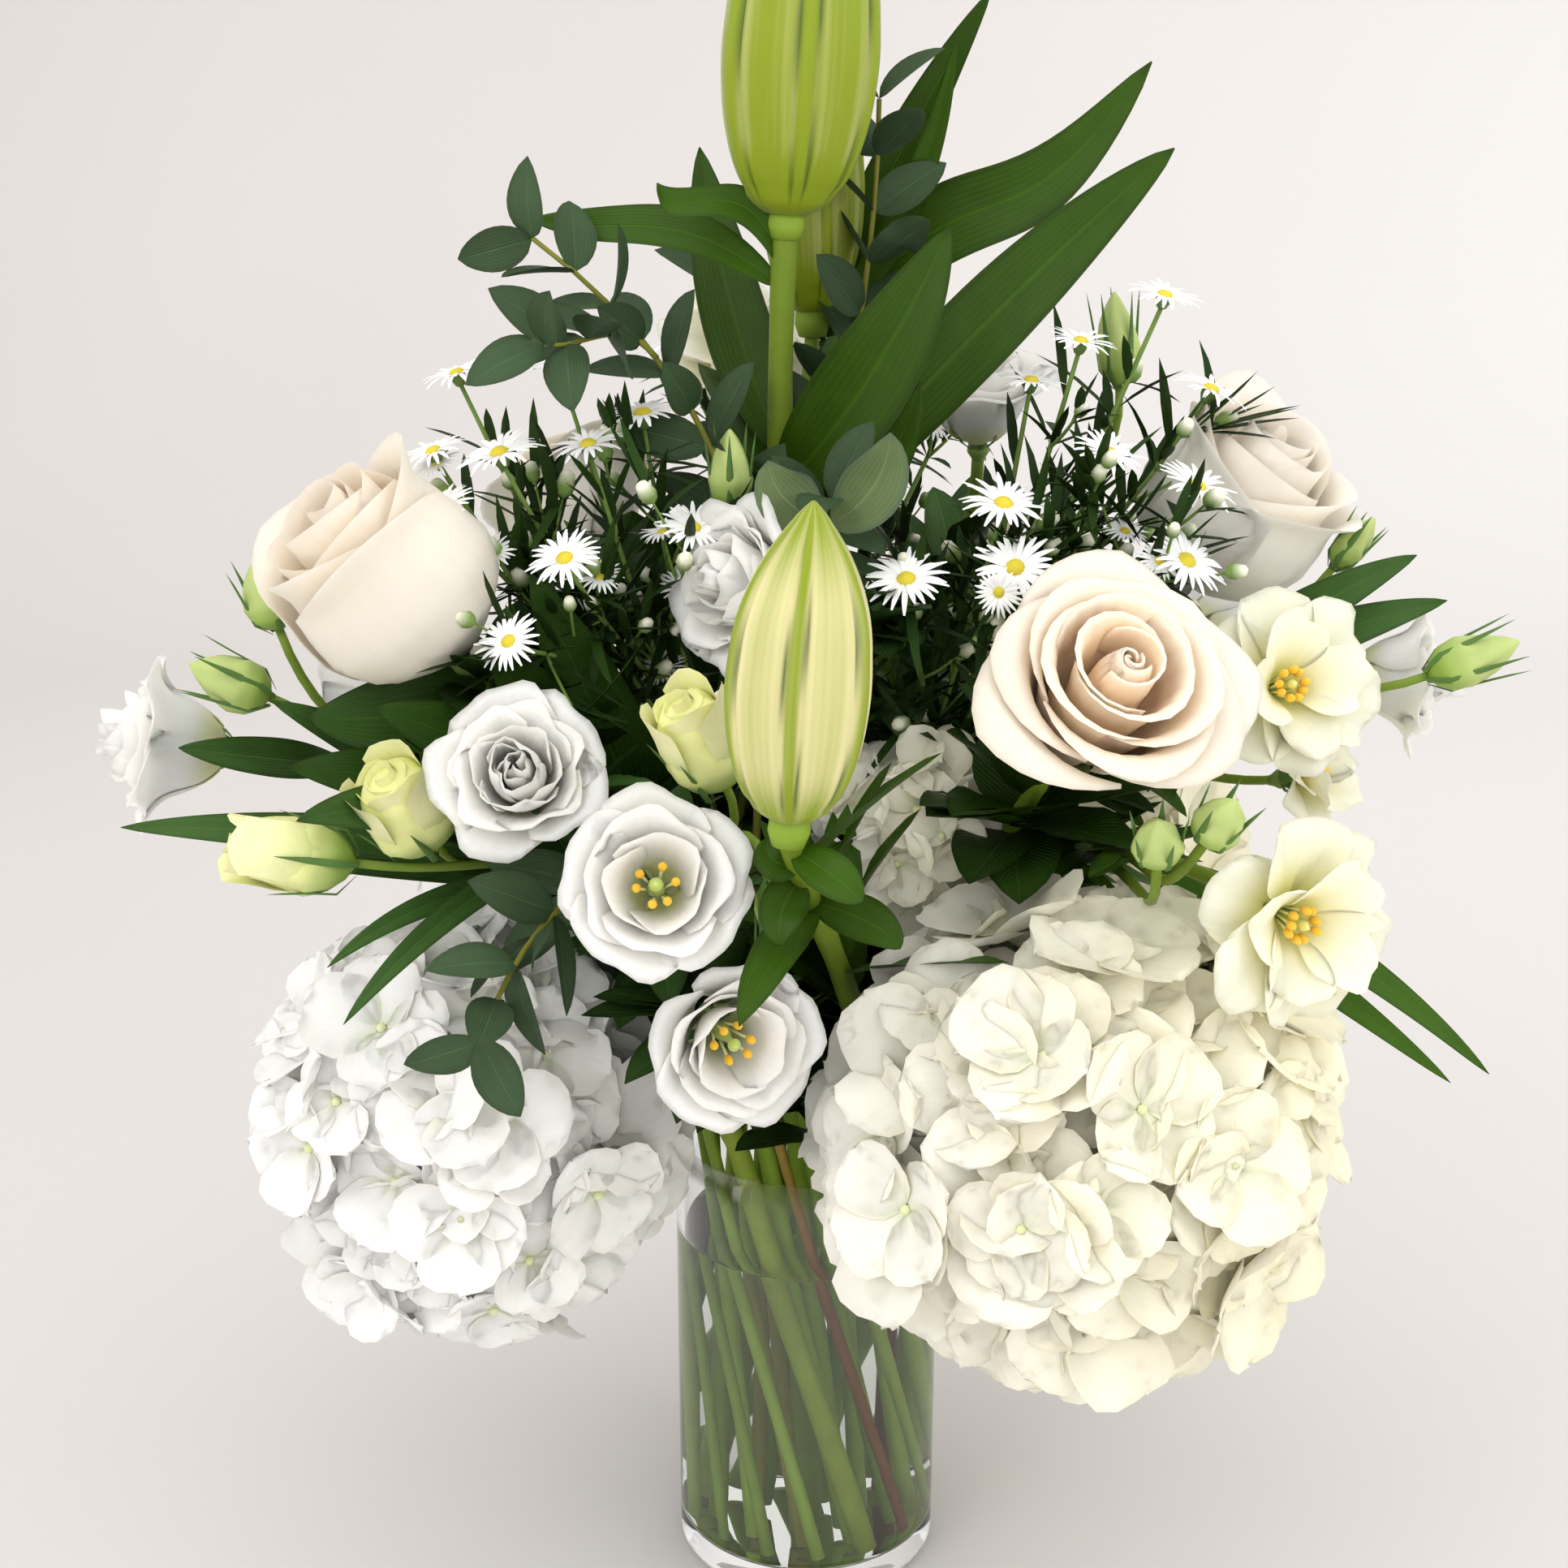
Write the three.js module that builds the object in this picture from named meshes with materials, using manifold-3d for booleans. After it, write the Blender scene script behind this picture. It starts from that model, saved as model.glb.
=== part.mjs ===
// Floral table centerpiece: a clear glass cylinder of water that holds a hand-tied spiral bunch of
// white hydrangeas, cream roses, green lily buds, white lisianthus, cream flag flowers, white asters
// and eucalyptus. Millimetres, +Z up. The origin is the centre of the vase's underside, and the
// front of the bunch looks along -Y.
import * as THREE from 'three';
import { mergeVertices } from 'three/addons/utils/BufferGeometryUtils.js';
import Module from 'manifold-3d';

const wasm = await Module();
wasm.setup();

// Driving dimensions: a 4 inch glass cylinder, 7 inches tall, filled to about three quarters.
const vaseRadius = 51;
const vaseHeight = 178;
const vaseWall = 3;
const vaseBase = 10;
const waterLevel = 138;
const gap = 0.3;
const vaseSegments = 24;

// The stems lie in three rings, as in a hand-tied spiral: each runs straight from its foot to the
// mouth of the vase, and its foot is turned by the twist from its place at the mouth.
const rings = {
  outer: { radius: 41.5, places: 14, turn: 0 },
  middle: { radius: 28, places: 10, turn: 0.3 },
  inner: { radius: 15, places: 6, turn: 0.15 },
  centre: { radius: 0, places: 1, turn: 0 },
};
const twist = THREE.MathUtils.degToRad(70);
const footHeight = 14;
const mouthHeight = 184;
const stemSteps = 6;

// Each bloom: its centre, the way it faces, its radius, and how far its base is behind its centre.
const blooms = {
  hydrangea_left: {
    kind: 'hydrangea', at: [-120, -64, 213], facing: [-0.84, -0.48, -0.25], size: [74, 82, 74], florets: 20,
  },
  hydrangea_right: {
    kind: 'hydrangea', at: [88, -118, 232], facing: [0.5, -0.82, -0.25], size: [88, 78, 76], florets: 23,
  },
  hydrangea_middle: {
    kind: 'hydrangea', at: [36, -44, 314], facing: [0.25, -0.6, 0.75], size: [31, 31, 31], florets: 7,
  },
  hydrangea_rear_left: {
    kind: 'hydrangea', at: [-88, 112, 222], facing: [-0.6, 0.76, -0.25], size: [72, 72, 72], florets: 12,
  },
  hydrangea_rear_right: {
    kind: 'hydrangea', at: [112, 82, 228], facing: [0.8, 0.57, -0.25], size: [72, 72, 72], florets: 12,
  },
  rose_front: { kind: 'rose', at: [89, -130, 388], facing: [0.12, -0.9, 0.42], size: 41, back: 34 },
  rose_left: { kind: 'roseBud', at: [-141, -62, 410], facing: [-0.6, -0.3, 0.74], size: 38, back: 40 },
  rose_right: { kind: 'roseBud', at: [152, 10, 420], facing: [0.45, -0.4, 0.8], size: 37, back: 38 },
  rose_rear_left: { kind: 'rose', at: [-95, 118, 400], facing: [-0.45, 0.6, 0.66], size: 38, back: 34 },
  rose_rear_right: { kind: 'rose', at: [75, 140, 352], facing: [0.3, 0.9, 0.3], size: 39, back: 34 },
  lisianthus_far_left: {
    kind: 'lisianthus', at: [-230, -6, 334], facing: [-0.96, -0.2, 0.15], size: 27, back: 21,
  },
  lisianthus_mid: {
    kind: 'lisianthus', at: [-93, -112, 356], facing: [0, -0.85, 0.5], size: 24, back: 21,
  },
  lisianthus_centre: {
    kind: 'lisianthus', at: [-48, -150, 333], facing: [0.05, -0.9, 0.42], size: 27, back: 21,
  },
  lisianthus_low: {
    kind: 'lisianthus', at: [-26, -144, 279], facing: [0.3, -0.95, 0.1], size: 26, back: 21,
  },
  lisianthus_behind: {
    kind: 'lisianthus', at: [-21, -72, 408], facing: [-0.75, -0.6, 0.3], size: 25, back: 21,
  },
  lisianthus_top: {
    kind: 'lisianthus', at: [63, 52, 452], facing: [-0.05, -0.25, 0.97], size: 26, back: 21,
  },
  lisianthus_right: {
    kind: 'lisianthus', at: [212, -18, 362], facing: [0.9, -0.2, -0.05], size: 22, back: 21,
  },
  lisianthus_rear_left: {
    kind: 'lisianthus', at: [-170, 90, 330], facing: [-0.8, 0.58, 0.15], size: 27, back: 21,
  },
  lisianthus_rear_right: {
    kind: 'lisianthus', at: [168, 100, 350], facing: [0.78, 0.6, 0.15], size: 27, back: 21,
  },
  cream_upper: { kind: 'cream', at: [160, -74, 376], facing: [0.35, -0.85, 0.38], size: 31, back: 20 },
  cream_lower: { kind: 'cream', at: [152, -146, 318], facing: [0.4, -0.88, 0], size: 33, back: 20 },
  cream_middle: { kind: 'cream', at: [182, -38, 334], facing: [0.75, -0.5, 0.3], size: 24, back: 18 },
  cream_top: { kind: 'cream', at: [-26, 62, 471], facing: [0, -0.75, 0.65], size: 28, back: 20 },
  lily_bud_top: { kind: 'lily', at: [-4, -20, 580], facing: [0.07, 0, 1], size: [25, 114], back: 57 },
  lily_bud_second: { kind: 'lily', at: [0, 20, 538], facing: [-0.02, 0, 1], size: [17, 100], back: 52 },
  lily_bud_front: {
    kind: 'lily', at: [-4, -171, 408], facing: [0.07, 0, 1], size: [20.5, 94], back: 46,
  },
};

// Each stem: its place at the mouth, its radius, the bloom or point that it reaches, how hard it
// leans in to it, and the side shoots that leave it at a share of its way from the mouth.
const stems = {
  stem_hydrangea_left: { slot: ['outer', 9], radius: 4.2, to: 'hydrangea_left', leaf: [3, 62, 30] },
  stem_hydrangea_right: { slot: ['outer', 0], radius: 4.4, to: 'hydrangea_right', leaf: [3, 62, 30] },
  stem_hydrangea_middle: { slot: ['outer', 13], radius: 3.6, to: 'hydrangea_middle', leaf: [3, 60, 28] },
  stem_hydrangea_rear_left: { slot: ['outer', 5], radius: 4, to: 'hydrangea_rear_left', leaf: [3, 62, 30] },
  stem_hydrangea_rear_right: {
    slot: ['middle', 2], radius: 3.8, to: 'hydrangea_rear_right', leaf: [3, 62, 30],
  },
  stem_rose_front: { slot: ['outer', 1], radius: 3.2, to: 'rose_front', leaf: [5, 52, 29] },
  stem_rose_left: { slot: ['middle', 6], radius: 3.4, to: 'rose_left', leaf: [5, 52, 29] },
  stem_rose_right: { slot: ['inner', 0], radius: 3.4, to: 'rose_right', reach: 0.28, leaf: [5, 52, 29] },
  stem_rose_rear_left: { slot: ['inner', 4], radius: 3.2, to: 'rose_rear_left', leaf: [5, 52, 29] },
  stem_rose_rear_right: { slot: ['middle', 3], radius: 3.2, to: 'rose_rear_right', leaf: [5, 52, 29] },
  stem_lily_tall: {
    slot: ['centre', 0], radius: 4.4, to: 'lily_bud_top', leaf: [3, 80, 16],
    shoots: [{ to: 'lily_bud_second', from: 0.62 }],
    blades: [
      { root: 0.72, tip: [45, -38, 520], bow: [4, -22, -6], width: 28 },
      { root: 0.66, tip: [36, -40, 470], bow: [16, -8, -10], width: 15 },
      { root: 0.66, tip: [123, 0, 543], bow: [14, -8, 10], width: 25 },
      { root: 0.86, tip: [114, 0, 571], bow: [10, -8, 0], width: 26 },
      { root: 0.88, tip: [48, -6, 578], bow: [12, -4, -14], width: 10 },
      { root: 0.86, tip: [62, 26, 594], bow: [-10, 12, 6], width: 15 },
      { root: 0.84, tip: [-51, -24, 533], bow: [-8, -4, 16], width: 14 },
      { root: 0.8, tip: [-96, 4, 519], bow: [-10, 4, 14], width: 17 },
      { root: 0.76, tip: [-40, 70, 540], bow: [-6, 14, -10], width: 22 },
      { root: 0.7, tip: [40, 95, 520], bow: [6, 18, -12], width: 24 },
    ],
  },
  stem_lily_front: {
    slot: ['outer', 12], radius: 3.8, to: 'lily_bud_front', reach: 0.1, leaf: [6, 70, 15],
  },
  spray_lisianthus_far_left: {
    slot: ['middle', 4], radius: 2.6, to: 'lisianthus_far_left', leaf: [5, 48, 18],
    blades: [
      { root: 0.5, tip: [-162, -124, 345], bow: [-4, -14, 22], width: 20 },
      { root: 0.84, tip: [-214, -62, 350], bow: [0, -14, 4], width: 13 },
    ],
    shoots: [
      { bud: [-133, -86, 336], facing: [-0.35, -0.5, 0.8], size: [16, 34], from: 0.5 },
      { bud: [-190, -20, 393], facing: [-0.25, -0.1, 0.95], size: [9, 26], from: 0.6 },
      { bud: [-203, -28, 364], facing: [-0.85, -0.2, 0.45], size: [10, 30], from: 0.75 },
    ],
  },
  spray_lisianthus_mid: {
    slot: ['outer', 7], radius: 2.4, to: 'lisianthus_mid', leaf: [5, 48, 18],
    blades: [
      { root: 0.62, tip: [-232, -75, 326], bow: [-10, -12, 12], width: 13 },
      { root: 0.7, tip: [-146, -150, 287], bow: [-6, -16, 16], width: 8 },
      { root: 0.56, tip: [-152, -140, 302], bow: [-10, -10, 22], width: 8 },
    ],
    shoots: [{ bud: [-169, -94, 323], facing: [-0.93, -0.2, 0.22], size: [13, 38], from: 0.5 }],
  },
  spray_lisianthus_centre: {
    slot: ['outer', 8], radius: 2.4, to: 'lisianthus_centre', leaf: [5, 48, 18],
    shoots: [
      { bud: [-34, -124, 370], facing: [-0.35, -0.4, 0.82], size: [14, 35], from: 0.6 },
      { bud: [-13, -140, 320], facing: [0.1, -0.3, -0.95], size: [5, 20], from: 0.6 },
    ],
  },
  spray_lisianthus_low: { slot: ['outer', 11], radius: 2.4, to: 'lisianthus_low', leaf: [5, 48, 18] },
  spray_lisianthus_behind: {
    slot: ['outer', 3], radius: 2.4, to: 'lisianthus_behind', leaf: [5, 48, 18],
    shoots: [{ bud: [-27, -42, 441], facing: [0, -0.1, 1], size: [7.5, 28], from: 0.7 }],
  },
  spray_lisianthus_right: {
    slot: ['middle', 0], radius: 2.4, to: 'lisianthus_right', leaf: [5, 48, 18],
    blades: [
      { root: 0.72, tip: [209, -28, 409], bow: [6, 0, 10], width: 15 },
      { root: 0.8, tip: [222, -24, 392], bow: [0, 0, 6], width: 14 },
    ],
    shoots: [
      { bud: [225, -50, 378], facing: [0.9, -0.1, 0.4], size: [9, 32], from: 0.75 },
      { bud: [192, -8, 409], facing: [0.6, 0, 0.8], size: [6, 22], from: 0.6 },
    ],
  },
  spray_lisianthus_top: {
    slot: ['outer', 6], radius: 2.4, to: 'lisianthus_top', leaf: [5, 48, 18],
    shoots: [{ bud: [112, 40, 474], facing: [-0.1, 0, 1], size: [8, 34], from: 0.7 }],
  },
  spray_lisianthus_rear_left: {
    slot: ['middle', 8], radius: 2.4, to: 'lisianthus_rear_left', leaf: [5, 48, 18],
  },
  spray_lisianthus_rear_right: {
    slot: ['inner', 5], radius: 2.4, to: 'lisianthus_rear_right', reach: 0.5, leaf: [5, 48, 18],
  },
  stem_cream_upper: {
    slot: ['middle', 1], radius: 2.6, to: 'cream_upper', leaf: [5, 42, 11],
    shoots: [{ to: 'cream_middle', from: 0.6 }],
  },
  stem_cream_lower: {
    slot: ['outer', 2], radius: 2.6, to: 'cream_lower', reach: 0.55, leaf: [5, 42, 11],
    blades: [
      { root: 0.84, tip: [231, -92, 243], bow: [6, 0, 12], width: 10 },
      { root: 0.76, tip: [220, -86, 237], bow: [4, 0, 4], width: 10 },
    ],
    shoots: [
      { bud: [104, -151, 348], facing: [-0.1, -0.5, 0.85], size: [8, 18], from: 0.6 },
      { bud: [123, -150, 354], facing: [0.3, -0.5, 0.8], size: [8, 20], from: 0.7 },
    ],
  },
  stem_cream_top: { slot: ['middle', 9], radius: 2.4, to: 'cream_top', leaf: [5, 42, 11] },
  spray_aster_left: {
    slot: ['middle', 7], radius: 2, at: [-62, -22, 385], facing: [-0.35, -0.2, 0.9], needle: 13,
    heads: [
      [-120, -20, 470], [-127, -35, 446], [-86, -10, 471], [-57, -25, 457], [-74, -45, 450], [-103, -50, 448],
      [-121, -60, 432], [-80, -75, 418], [-39, -60, 425], [-98, -85, 393],
    ],
  },
  spray_aster_right: {
    slot: ['inner', 1], radius: 2, at: [80, -8, 400], facing: [0.35, -0.1, 0.9], needle: 13,
    heads: [
      [119, -20, 496], [63, -60, 433], [98, -50, 448], [129, -45, 436], [31, -70, 410], [92, -15, 480],
      [76, -10, 466], [138, -10, 463], [124, -60, 414], [66, -75, 415],
    ],
  },
  spray_aster_rear: {
    slot: ['outer', 4], radius: 2, at: [10, 120, 400], facing: [0.1, 0.5, 0.85], needle: 8,
    heads: [
      [-30, 150, 455], [5, 160, 462], [40, 150, 450], [62, 120, 448], [-52, 120, 462], [15, 125, 482],
      [30, 178, 425],
    ],
  },
  eucalyptus_left: {
    slot: ['outer', 10], radius: 1.8, at: [-93, -20, 515], facing: [-0.8, 0, 0.6], reach: 0.45,
    pairs: 6, from: 0.68, side: [[-86, -60, 485], 0.86],
  },
  eucalyptus_right: {
    slot: ['middle', 5], radius: 1.8, at: [23, 0, 559], facing: [0, 0, 1], reach: 0.4,
    pairs: 5, from: 0.72, side: [[6, -66, 436], 0.5],
  },
  eucalyptus_low: {
    slot: ['inner', 3], radius: 1.8, at: [-103, -155, 284], facing: [-0.35, -0.3, -0.9], reach: 0.5,
    pairs: 5, from: 0.7,
  },
  eucalyptus_rear: {
    slot: ['inner', 2], radius: 1.8, at: [-45, 150, 500], facing: [-0.4, 0.5, 0.75], reach: 0.4,
    pairs: 6, from: 0.66,
  },
};

// The layers of each kind of bloom, in units of its radius, from its base. A core is a turned
// profile of [radius, height]. A layer's petals run through rows of [radius, height, half width].
const bloomForms = {
  rose: {
    core: [[0, 0], [0.13, 0], [0.36, 0.35], [0.32, 1.1], [0, 1.25]],
    layers: [
      { petals: 3, turn: 0.2, lean: 0.03, rows: [[0.1, 0.3, 0.05], [0.54, 0.85, 0.46], [0.48, 1.5, 0.24]] },
      { petals: 5, turn: 0.4, lean: 0.04, rows: [[0.1, 0.12, 0.03], [0.86, 0.72, 0.58], [1, 1.42, 0.3]] },
    ],
  },
  roseBud: {
    core: [[0, 0], [0.14, 0], [0.46, 0.4], [0.44, 1.3], [0, 1.8]],
    layers: [
      { petals: 3, turn: 0.2, lean: 0.03, rows: [[0.12, 0.5, 0.05], [0.62, 1.1, 0.56], [0.5, 1.95, 0.26]] },
      { petals: 4, turn: 1.1, lean: 0.04, rows: [[0.1, 0.12, 0.03], [0.94, 0.9, 0.74], [0.78, 1.9, 0.36]] },
    ],
  },
  lisianthus: {
    core: [[0, 0], [0.14, 0], [0.42, 0.7], [0.36, 1.35], [0, 1.15]],
    layers: [
      { petals: 5, turn: 0, lean: 0.04, rows: [[0.08, 0.1, 0.02], [0.76, 0.72, 0.46], [0.98, 1.5, 0.44]] },
    ],
  },
  cream: {
    core: [[0, 0], [0.12, 0], [0.3, 0.5], [0.34, 0.8], [0, 0.6]],
    layers: [
      { petals: 5, turn: 0, lean: 0.04, rows: [[0.06, 0.1, 0.02], [0.6, 0.42, 0.4], [1, 0.56, 0.44]] },
    ],
  },
};

const looks = {
  glass: { color: 0xf2f7f5, roughness: 0.03, metalness: 0, transparent: true, opacity: 0.3 },
  water: { color: 0xe9f2ee, roughness: 0.02, metalness: 0, transparent: true, opacity: 0.25 },
  hydrangea: { color: 0xf6f4ea, roughness: 0.6, metalness: 0 },
  rose: { color: 0xf7e9d8, roughness: 0.55, metalness: 0 },
  roseBud: { color: 0xf6ead9, roughness: 0.55, metalness: 0 },
  lisianthus: { color: 0xf7f6f0, roughness: 0.55, metalness: 0 },
  cream: { color: 0xf6f0c0, roughness: 0.55, metalness: 0 },
  lily: { color: 0xc6cf5c, roughness: 0.4, metalness: 0 },
  stem: { color: 0x3f6b26, roughness: 0.5, metalness: 0 },
  eucalyptus: { color: 0x5d7a5c, roughness: 0.6, metalness: 0 },
};

// ---- Shapes

// A fair draw in [0, 1) that depends only on its two whole numbers.
function draw(seed, count) {
  const value = Math.sin(seed * 127.1 + count * 311.7) * 43758.5453;
  return value - Math.floor(value);
}

const vector = (values) => new THREE.Vector3(...values);

// A closed geometry as a solid, with its shared corners merged and its faces pointing out.
function toSolid(geometry) {
  geometry.deleteAttribute('normal');
  geometry.deleteAttribute('uv');
  const merged = mergeVertices(geometry, 1e-4);
  const points = merged.attributes.position;
  const faces = [];
  let volume = 0;
  const [a, b, c] = [new THREE.Vector3(), new THREE.Vector3(), new THREE.Vector3()];
  for (let i = 0; i < merged.index.count; i += 3) {
    const corners = [merged.index.getX(i), merged.index.getX(i + 1), merged.index.getX(i + 2)];
    if (new Set(corners).size < 3) continue;
    faces.push(corners);
    [a, b, c].forEach((corner, k) => corner.fromBufferAttribute(points, corners[k]));
    volume += a.dot(b.clone().cross(c));
  }
  if (volume < 0) faces.forEach((corners) => corners.reverse());
  return new wasm.Manifold(new wasm.Mesh({
    numProp: 3,
    vertProperties: Float32Array.from(points.array),
    triVerts: Uint32Array.from(faces.flat()),
  }));
}

function toGeometry(solid) {
  const mesh = solid.getMesh();
  const geometry = new THREE.BufferGeometry();
  geometry.setAttribute('position', new THREE.BufferAttribute(mesh.vertProperties, 3));
  geometry.setIndex(new THREE.BufferAttribute(mesh.triVerts, 1));
  geometry.computeVertexNormals();
  return geometry;
}

const join = (solids) => wasm.Manifold.union(solids);

// A solid of revolution about +Z from a profile of [radius, height].
function turned(profile, segments) {
  const points = profile.map(([radius, height]) => new THREE.Vector2(radius, height));
  const geometry = new THREE.LatheGeometry([...points, points[0]], segments);
  geometry.rotateX(Math.PI / 2);
  return toSolid(geometry);
}

function tube(path, radius, sides, steps) {
  const outline = new THREE.Shape(Array.from({ length: sides }, (_, i) => {
    const angle = (2 * Math.PI * i) / sides;
    return new THREE.Vector2(radius * Math.cos(angle), radius * Math.sin(angle));
  }));
  const options = { steps, bevelEnabled: false, extrudePath: path };
  return toSolid(new THREE.ExtrudeGeometry(outline, options));
}

// A leaf or petal: a sheet of points with its two faces bulged apart by the thickness. Both faces
// share their edge and are split alike, with each corner joined to the inside of the sheet.
function blade(rows, thickness) {
  const across = rows[0].length;
  const positions = [];
  const put = (point) => positions.push(point.x, point.y, point.z) / 3 - 1;
  const faces = [1, -1].map((side) => rows.map((row, i) => row.map((point, j) => {
    const isEdge = i === 0 || j === 0 || i === rows.length - 1 || j === across - 1;
    if (isEdge) return put(point);
    const along = rows[i + 1][j].clone().sub(rows[i - 1][j]);
    const normal = row[j + 1].clone().sub(row[j - 1]).cross(along).normalize();
    return put(point.clone().addScaledVector(normal, (side * thickness) / 2));
  })));
  const index = [];
  faces.forEach((face, side) => {
    for (let i = 0; i < rows.length - 1; i += 1) {
      for (let j = 0; j < across - 1; j += 1) {
        const [a, b, c, d] = [face[i][j], face[i + 1][j], face[i + 1][j + 1], face[i][j + 1]];
        const sameHalf = (i < (rows.length - 1) / 2) === (j < (across - 1) / 2);
        const pair = sameHalf ? [[a, b, c], [a, c, d]] : [[a, b, d], [b, c, d]];
        pair.forEach((corners) => index.push(...(side ? corners.reverse() : corners)));
      }
    }
  });
  const geometry = new THREE.BufferGeometry();
  geometry.setAttribute('position', new THREE.Float32BufferAttribute(positions, 3));
  geometry.setIndex(index);
  return toSolid(geometry);
}

const up = new THREE.Vector3(0, 0, 1);
const toFront = new THREE.Vector3(0.1, -0.9, 0.45);

// A leaf from a root to a tip, bowed on the way, folded a little along its rib. Its upper face
// looks toward the given side.
function leaf(root, tip, bow, width, steps, side = up) {
  const middle = root.clone().add(tip).multiplyScalar(0.5).add(bow);
  const rib = new THREE.QuadraticBezierCurve3(root, middle, tip);
  const rows = [];
  for (let i = 0; i <= steps; i += 1) {
    const t = i / steps;
    const along = rib.getTangent(t);
    const across = side.clone().cross(along);
    if (across.length() < 0.3) across.set(1, 0, 0).addScaledVector(along, -along.x);
    across.normalize();
    const fold = along.clone().cross(across).normalize();
    const half = (width / 2) * Math.sin(Math.PI * t ** 0.8) ** 0.7;
    rows.push([-1, 0, 1].map((edge) => rib.getPoint(t)
      .addScaledVector(across, edge * half)
      .addScaledVector(fold, edge ? half * 0.25 : 0)));
  }
  return blade(rows, Math.max(1.3, width * 0.07));
}

// A pointed bud from its base, six-sided, [radius, length].
function spindle([radius, length]) {
  const shares = [[0, 0], [0.4, 0], [1, 0.35], [0.76, 0.72], [0, 1]];
  return turned(shares.map(([r, z]) => [r * radius, z * length]), 5);
}

// ---- Places

// The frame of a flower: its own +Z faces out, and its +Y is as near to up as that leaves.
function flowerFrame(base, facing) {
  const z = vector(facing).normalize();
  const x = new THREE.Vector3(0, 0, 1).cross(z);
  if (x.length() < 0.1) x.set(1, 0, 0).addScaledVector(z, -z.x);
  x.normalize();
  const y = z.clone().cross(x);
  return new THREE.Matrix4().makeBasis(x, y, z).setPosition(base);
}

const coreShare = 0.66;

// A hydrangea's base is the near pole of its core.
function baseDepth(bloom) {
  return bloom.kind === 'hydrangea' ? bloom.size[2] * coreShare : bloom.back;
}

function bloomFrame(bloom) {
  const facing = vector(bloom.facing).normalize();
  return flowerFrame(vector(bloom.at).addScaledVector(facing, -baseDepth(bloom)), bloom.facing);
}

function place(solid, frame) {
  return solid.transform(frame.elements);
}

// A stem is straight from its foot to the mouth, and bends from there to its flower. Its first
// step is the straight one, and the others share the bend.
class StemPath extends THREE.Curve {
  constructor(foot, bend) {
    super();
    this.foot = foot;
    this.bend = bend;
  }

  getUtoTmapping(u) {
    return u;
  }

  getPoint(t, target = new THREE.Vector3()) {
    const straight = 1 / stemSteps;
    if (t < straight) return target.lerpVectors(this.foot, this.bend.v0, t / straight);
    return this.bend.getPoint((t - straight) / (1 - straight), target);
  }
}

function ringPoint({ radius, places, turn }, number, twisted, height) {
  const angle = (2 * Math.PI * number) / places + turn + twisted;
  return new THREE.Vector3(radius * Math.cos(angle), radius * Math.sin(angle), height);
}

const bendSteps = stemSteps - 1;
const shootSteps = 3;

// A point on the straight runs that a bend is built from, where leaves and shoots take root.
function rootPoint(bend, steps, t) {
  const run = Math.min(Math.floor(t * steps), steps - 1);
  return bend.getPoint(run / steps).lerp(bend.getPoint((run + 1) / steps), t * steps - run);
}

function bendTo(start, direction, end, facing, reach) {
  const length = start.distanceTo(end);
  return new THREE.CubicBezierCurve3(
    start,
    start.clone().addScaledVector(direction, length * 0.4),
    end.clone().addScaledVector(facing, -length * reach),
    end,
  );
}

// Where a stem or shoot ends: just short of the base of its bloom, or at a point of its own.
function endOf(target) {
  const bloom = blooms[target.to];
  const facing = vector(bloom ? bloom.facing : target.facing).normalize();
  if (bloom) {
    return { point: vector(bloom.at).addScaledVector(facing, -baseDepth(bloom) - gap), facing };
  }
  if (target.bud) {
    return { point: vector(target.bud).addScaledVector(facing, -target.size[1] / 2), facing };
  }
  return { point: vector(target.at), facing };
}

function stemPath(stem) {
  const ring = rings[stem.slot[0]];
  const foot = ringPoint(ring, stem.slot[1], twist, footHeight);
  const mouth = ringPoint(ring, stem.slot[1], 0, mouthHeight);
  const end = endOf(stem);
  const rise = mouth.clone().sub(foot).normalize();
  return new StemPath(foot, bendTo(mouth, rise, end.point, end.facing, stem.reach ?? 0.35));
}

// ---- Blooms

// One petal of a layer: a patch of a turned surface, one edge inside its neighbour's.
function petal(angle, layer, size) {
  const rows = layer.rows.map(([radius, height, half]) => [-1, 0, 1].map((side) => {
    const turn = angle + (side * half) / radius;
    const reach = (radius + layer.lean * side) * size;
    const drop = height * size * (1 - 0.1 * side * side);
    return new THREE.Vector3(reach * Math.cos(turn), reach * Math.sin(turn), drop);
  }));
  return blade(rows, 1.5);
}

function layeredBloom(form, size, seed) {
  const outer = form.layers.at(-1);
  const core = turned(form.core.map(([radius, height]) => [radius * size, height * size]), outer.petals);
  const halfFace = 180 / outer.petals;
  const parts = [core.rotate([0, 0, THREE.MathUtils.radToDeg(outer.turn) + 90 + halfFace])];
  form.layers.forEach((layer, l) => {
    for (let k = 0; k < layer.petals; k += 1) {
      const jitter = (draw(seed + l, k) - 0.5) * 0.1;
      parts.push(petal(layer.turn + jitter + (2 * Math.PI * k) / layer.petals, layer, size));
    }
  });
  return join(parts);
}

// A lily bud: three broad tepals and three ribs make a six-lobed spindle.
function lilyBud([radius, length]) {
  const bud = new THREE.LatheGeometry(
    [[0, 0], [0.22, 0], [0.62, 0.12], [0.95, 0.33], [1, 0.52], [0.8, 0.76], [0.36, 0.94], [0, 1], [0, 0]]
      .map(([r, z]) => new THREE.Vector2(r * radius, z * length)),
    12,
  );
  bud.rotateX(Math.PI / 2);
  const points = bud.attributes.position;
  for (let i = 0; i < points.count; i += 1) {
    const angle = Math.atan2(points.getY(i), points.getX(i));
    const lobe = 1 + 0.07 * Math.cos(6 * angle);
    points.setXYZ(i, points.getX(i) * lobe, points.getY(i) * lobe, points.getZ(i));
  }
  return toSolid(bud);
}

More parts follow.
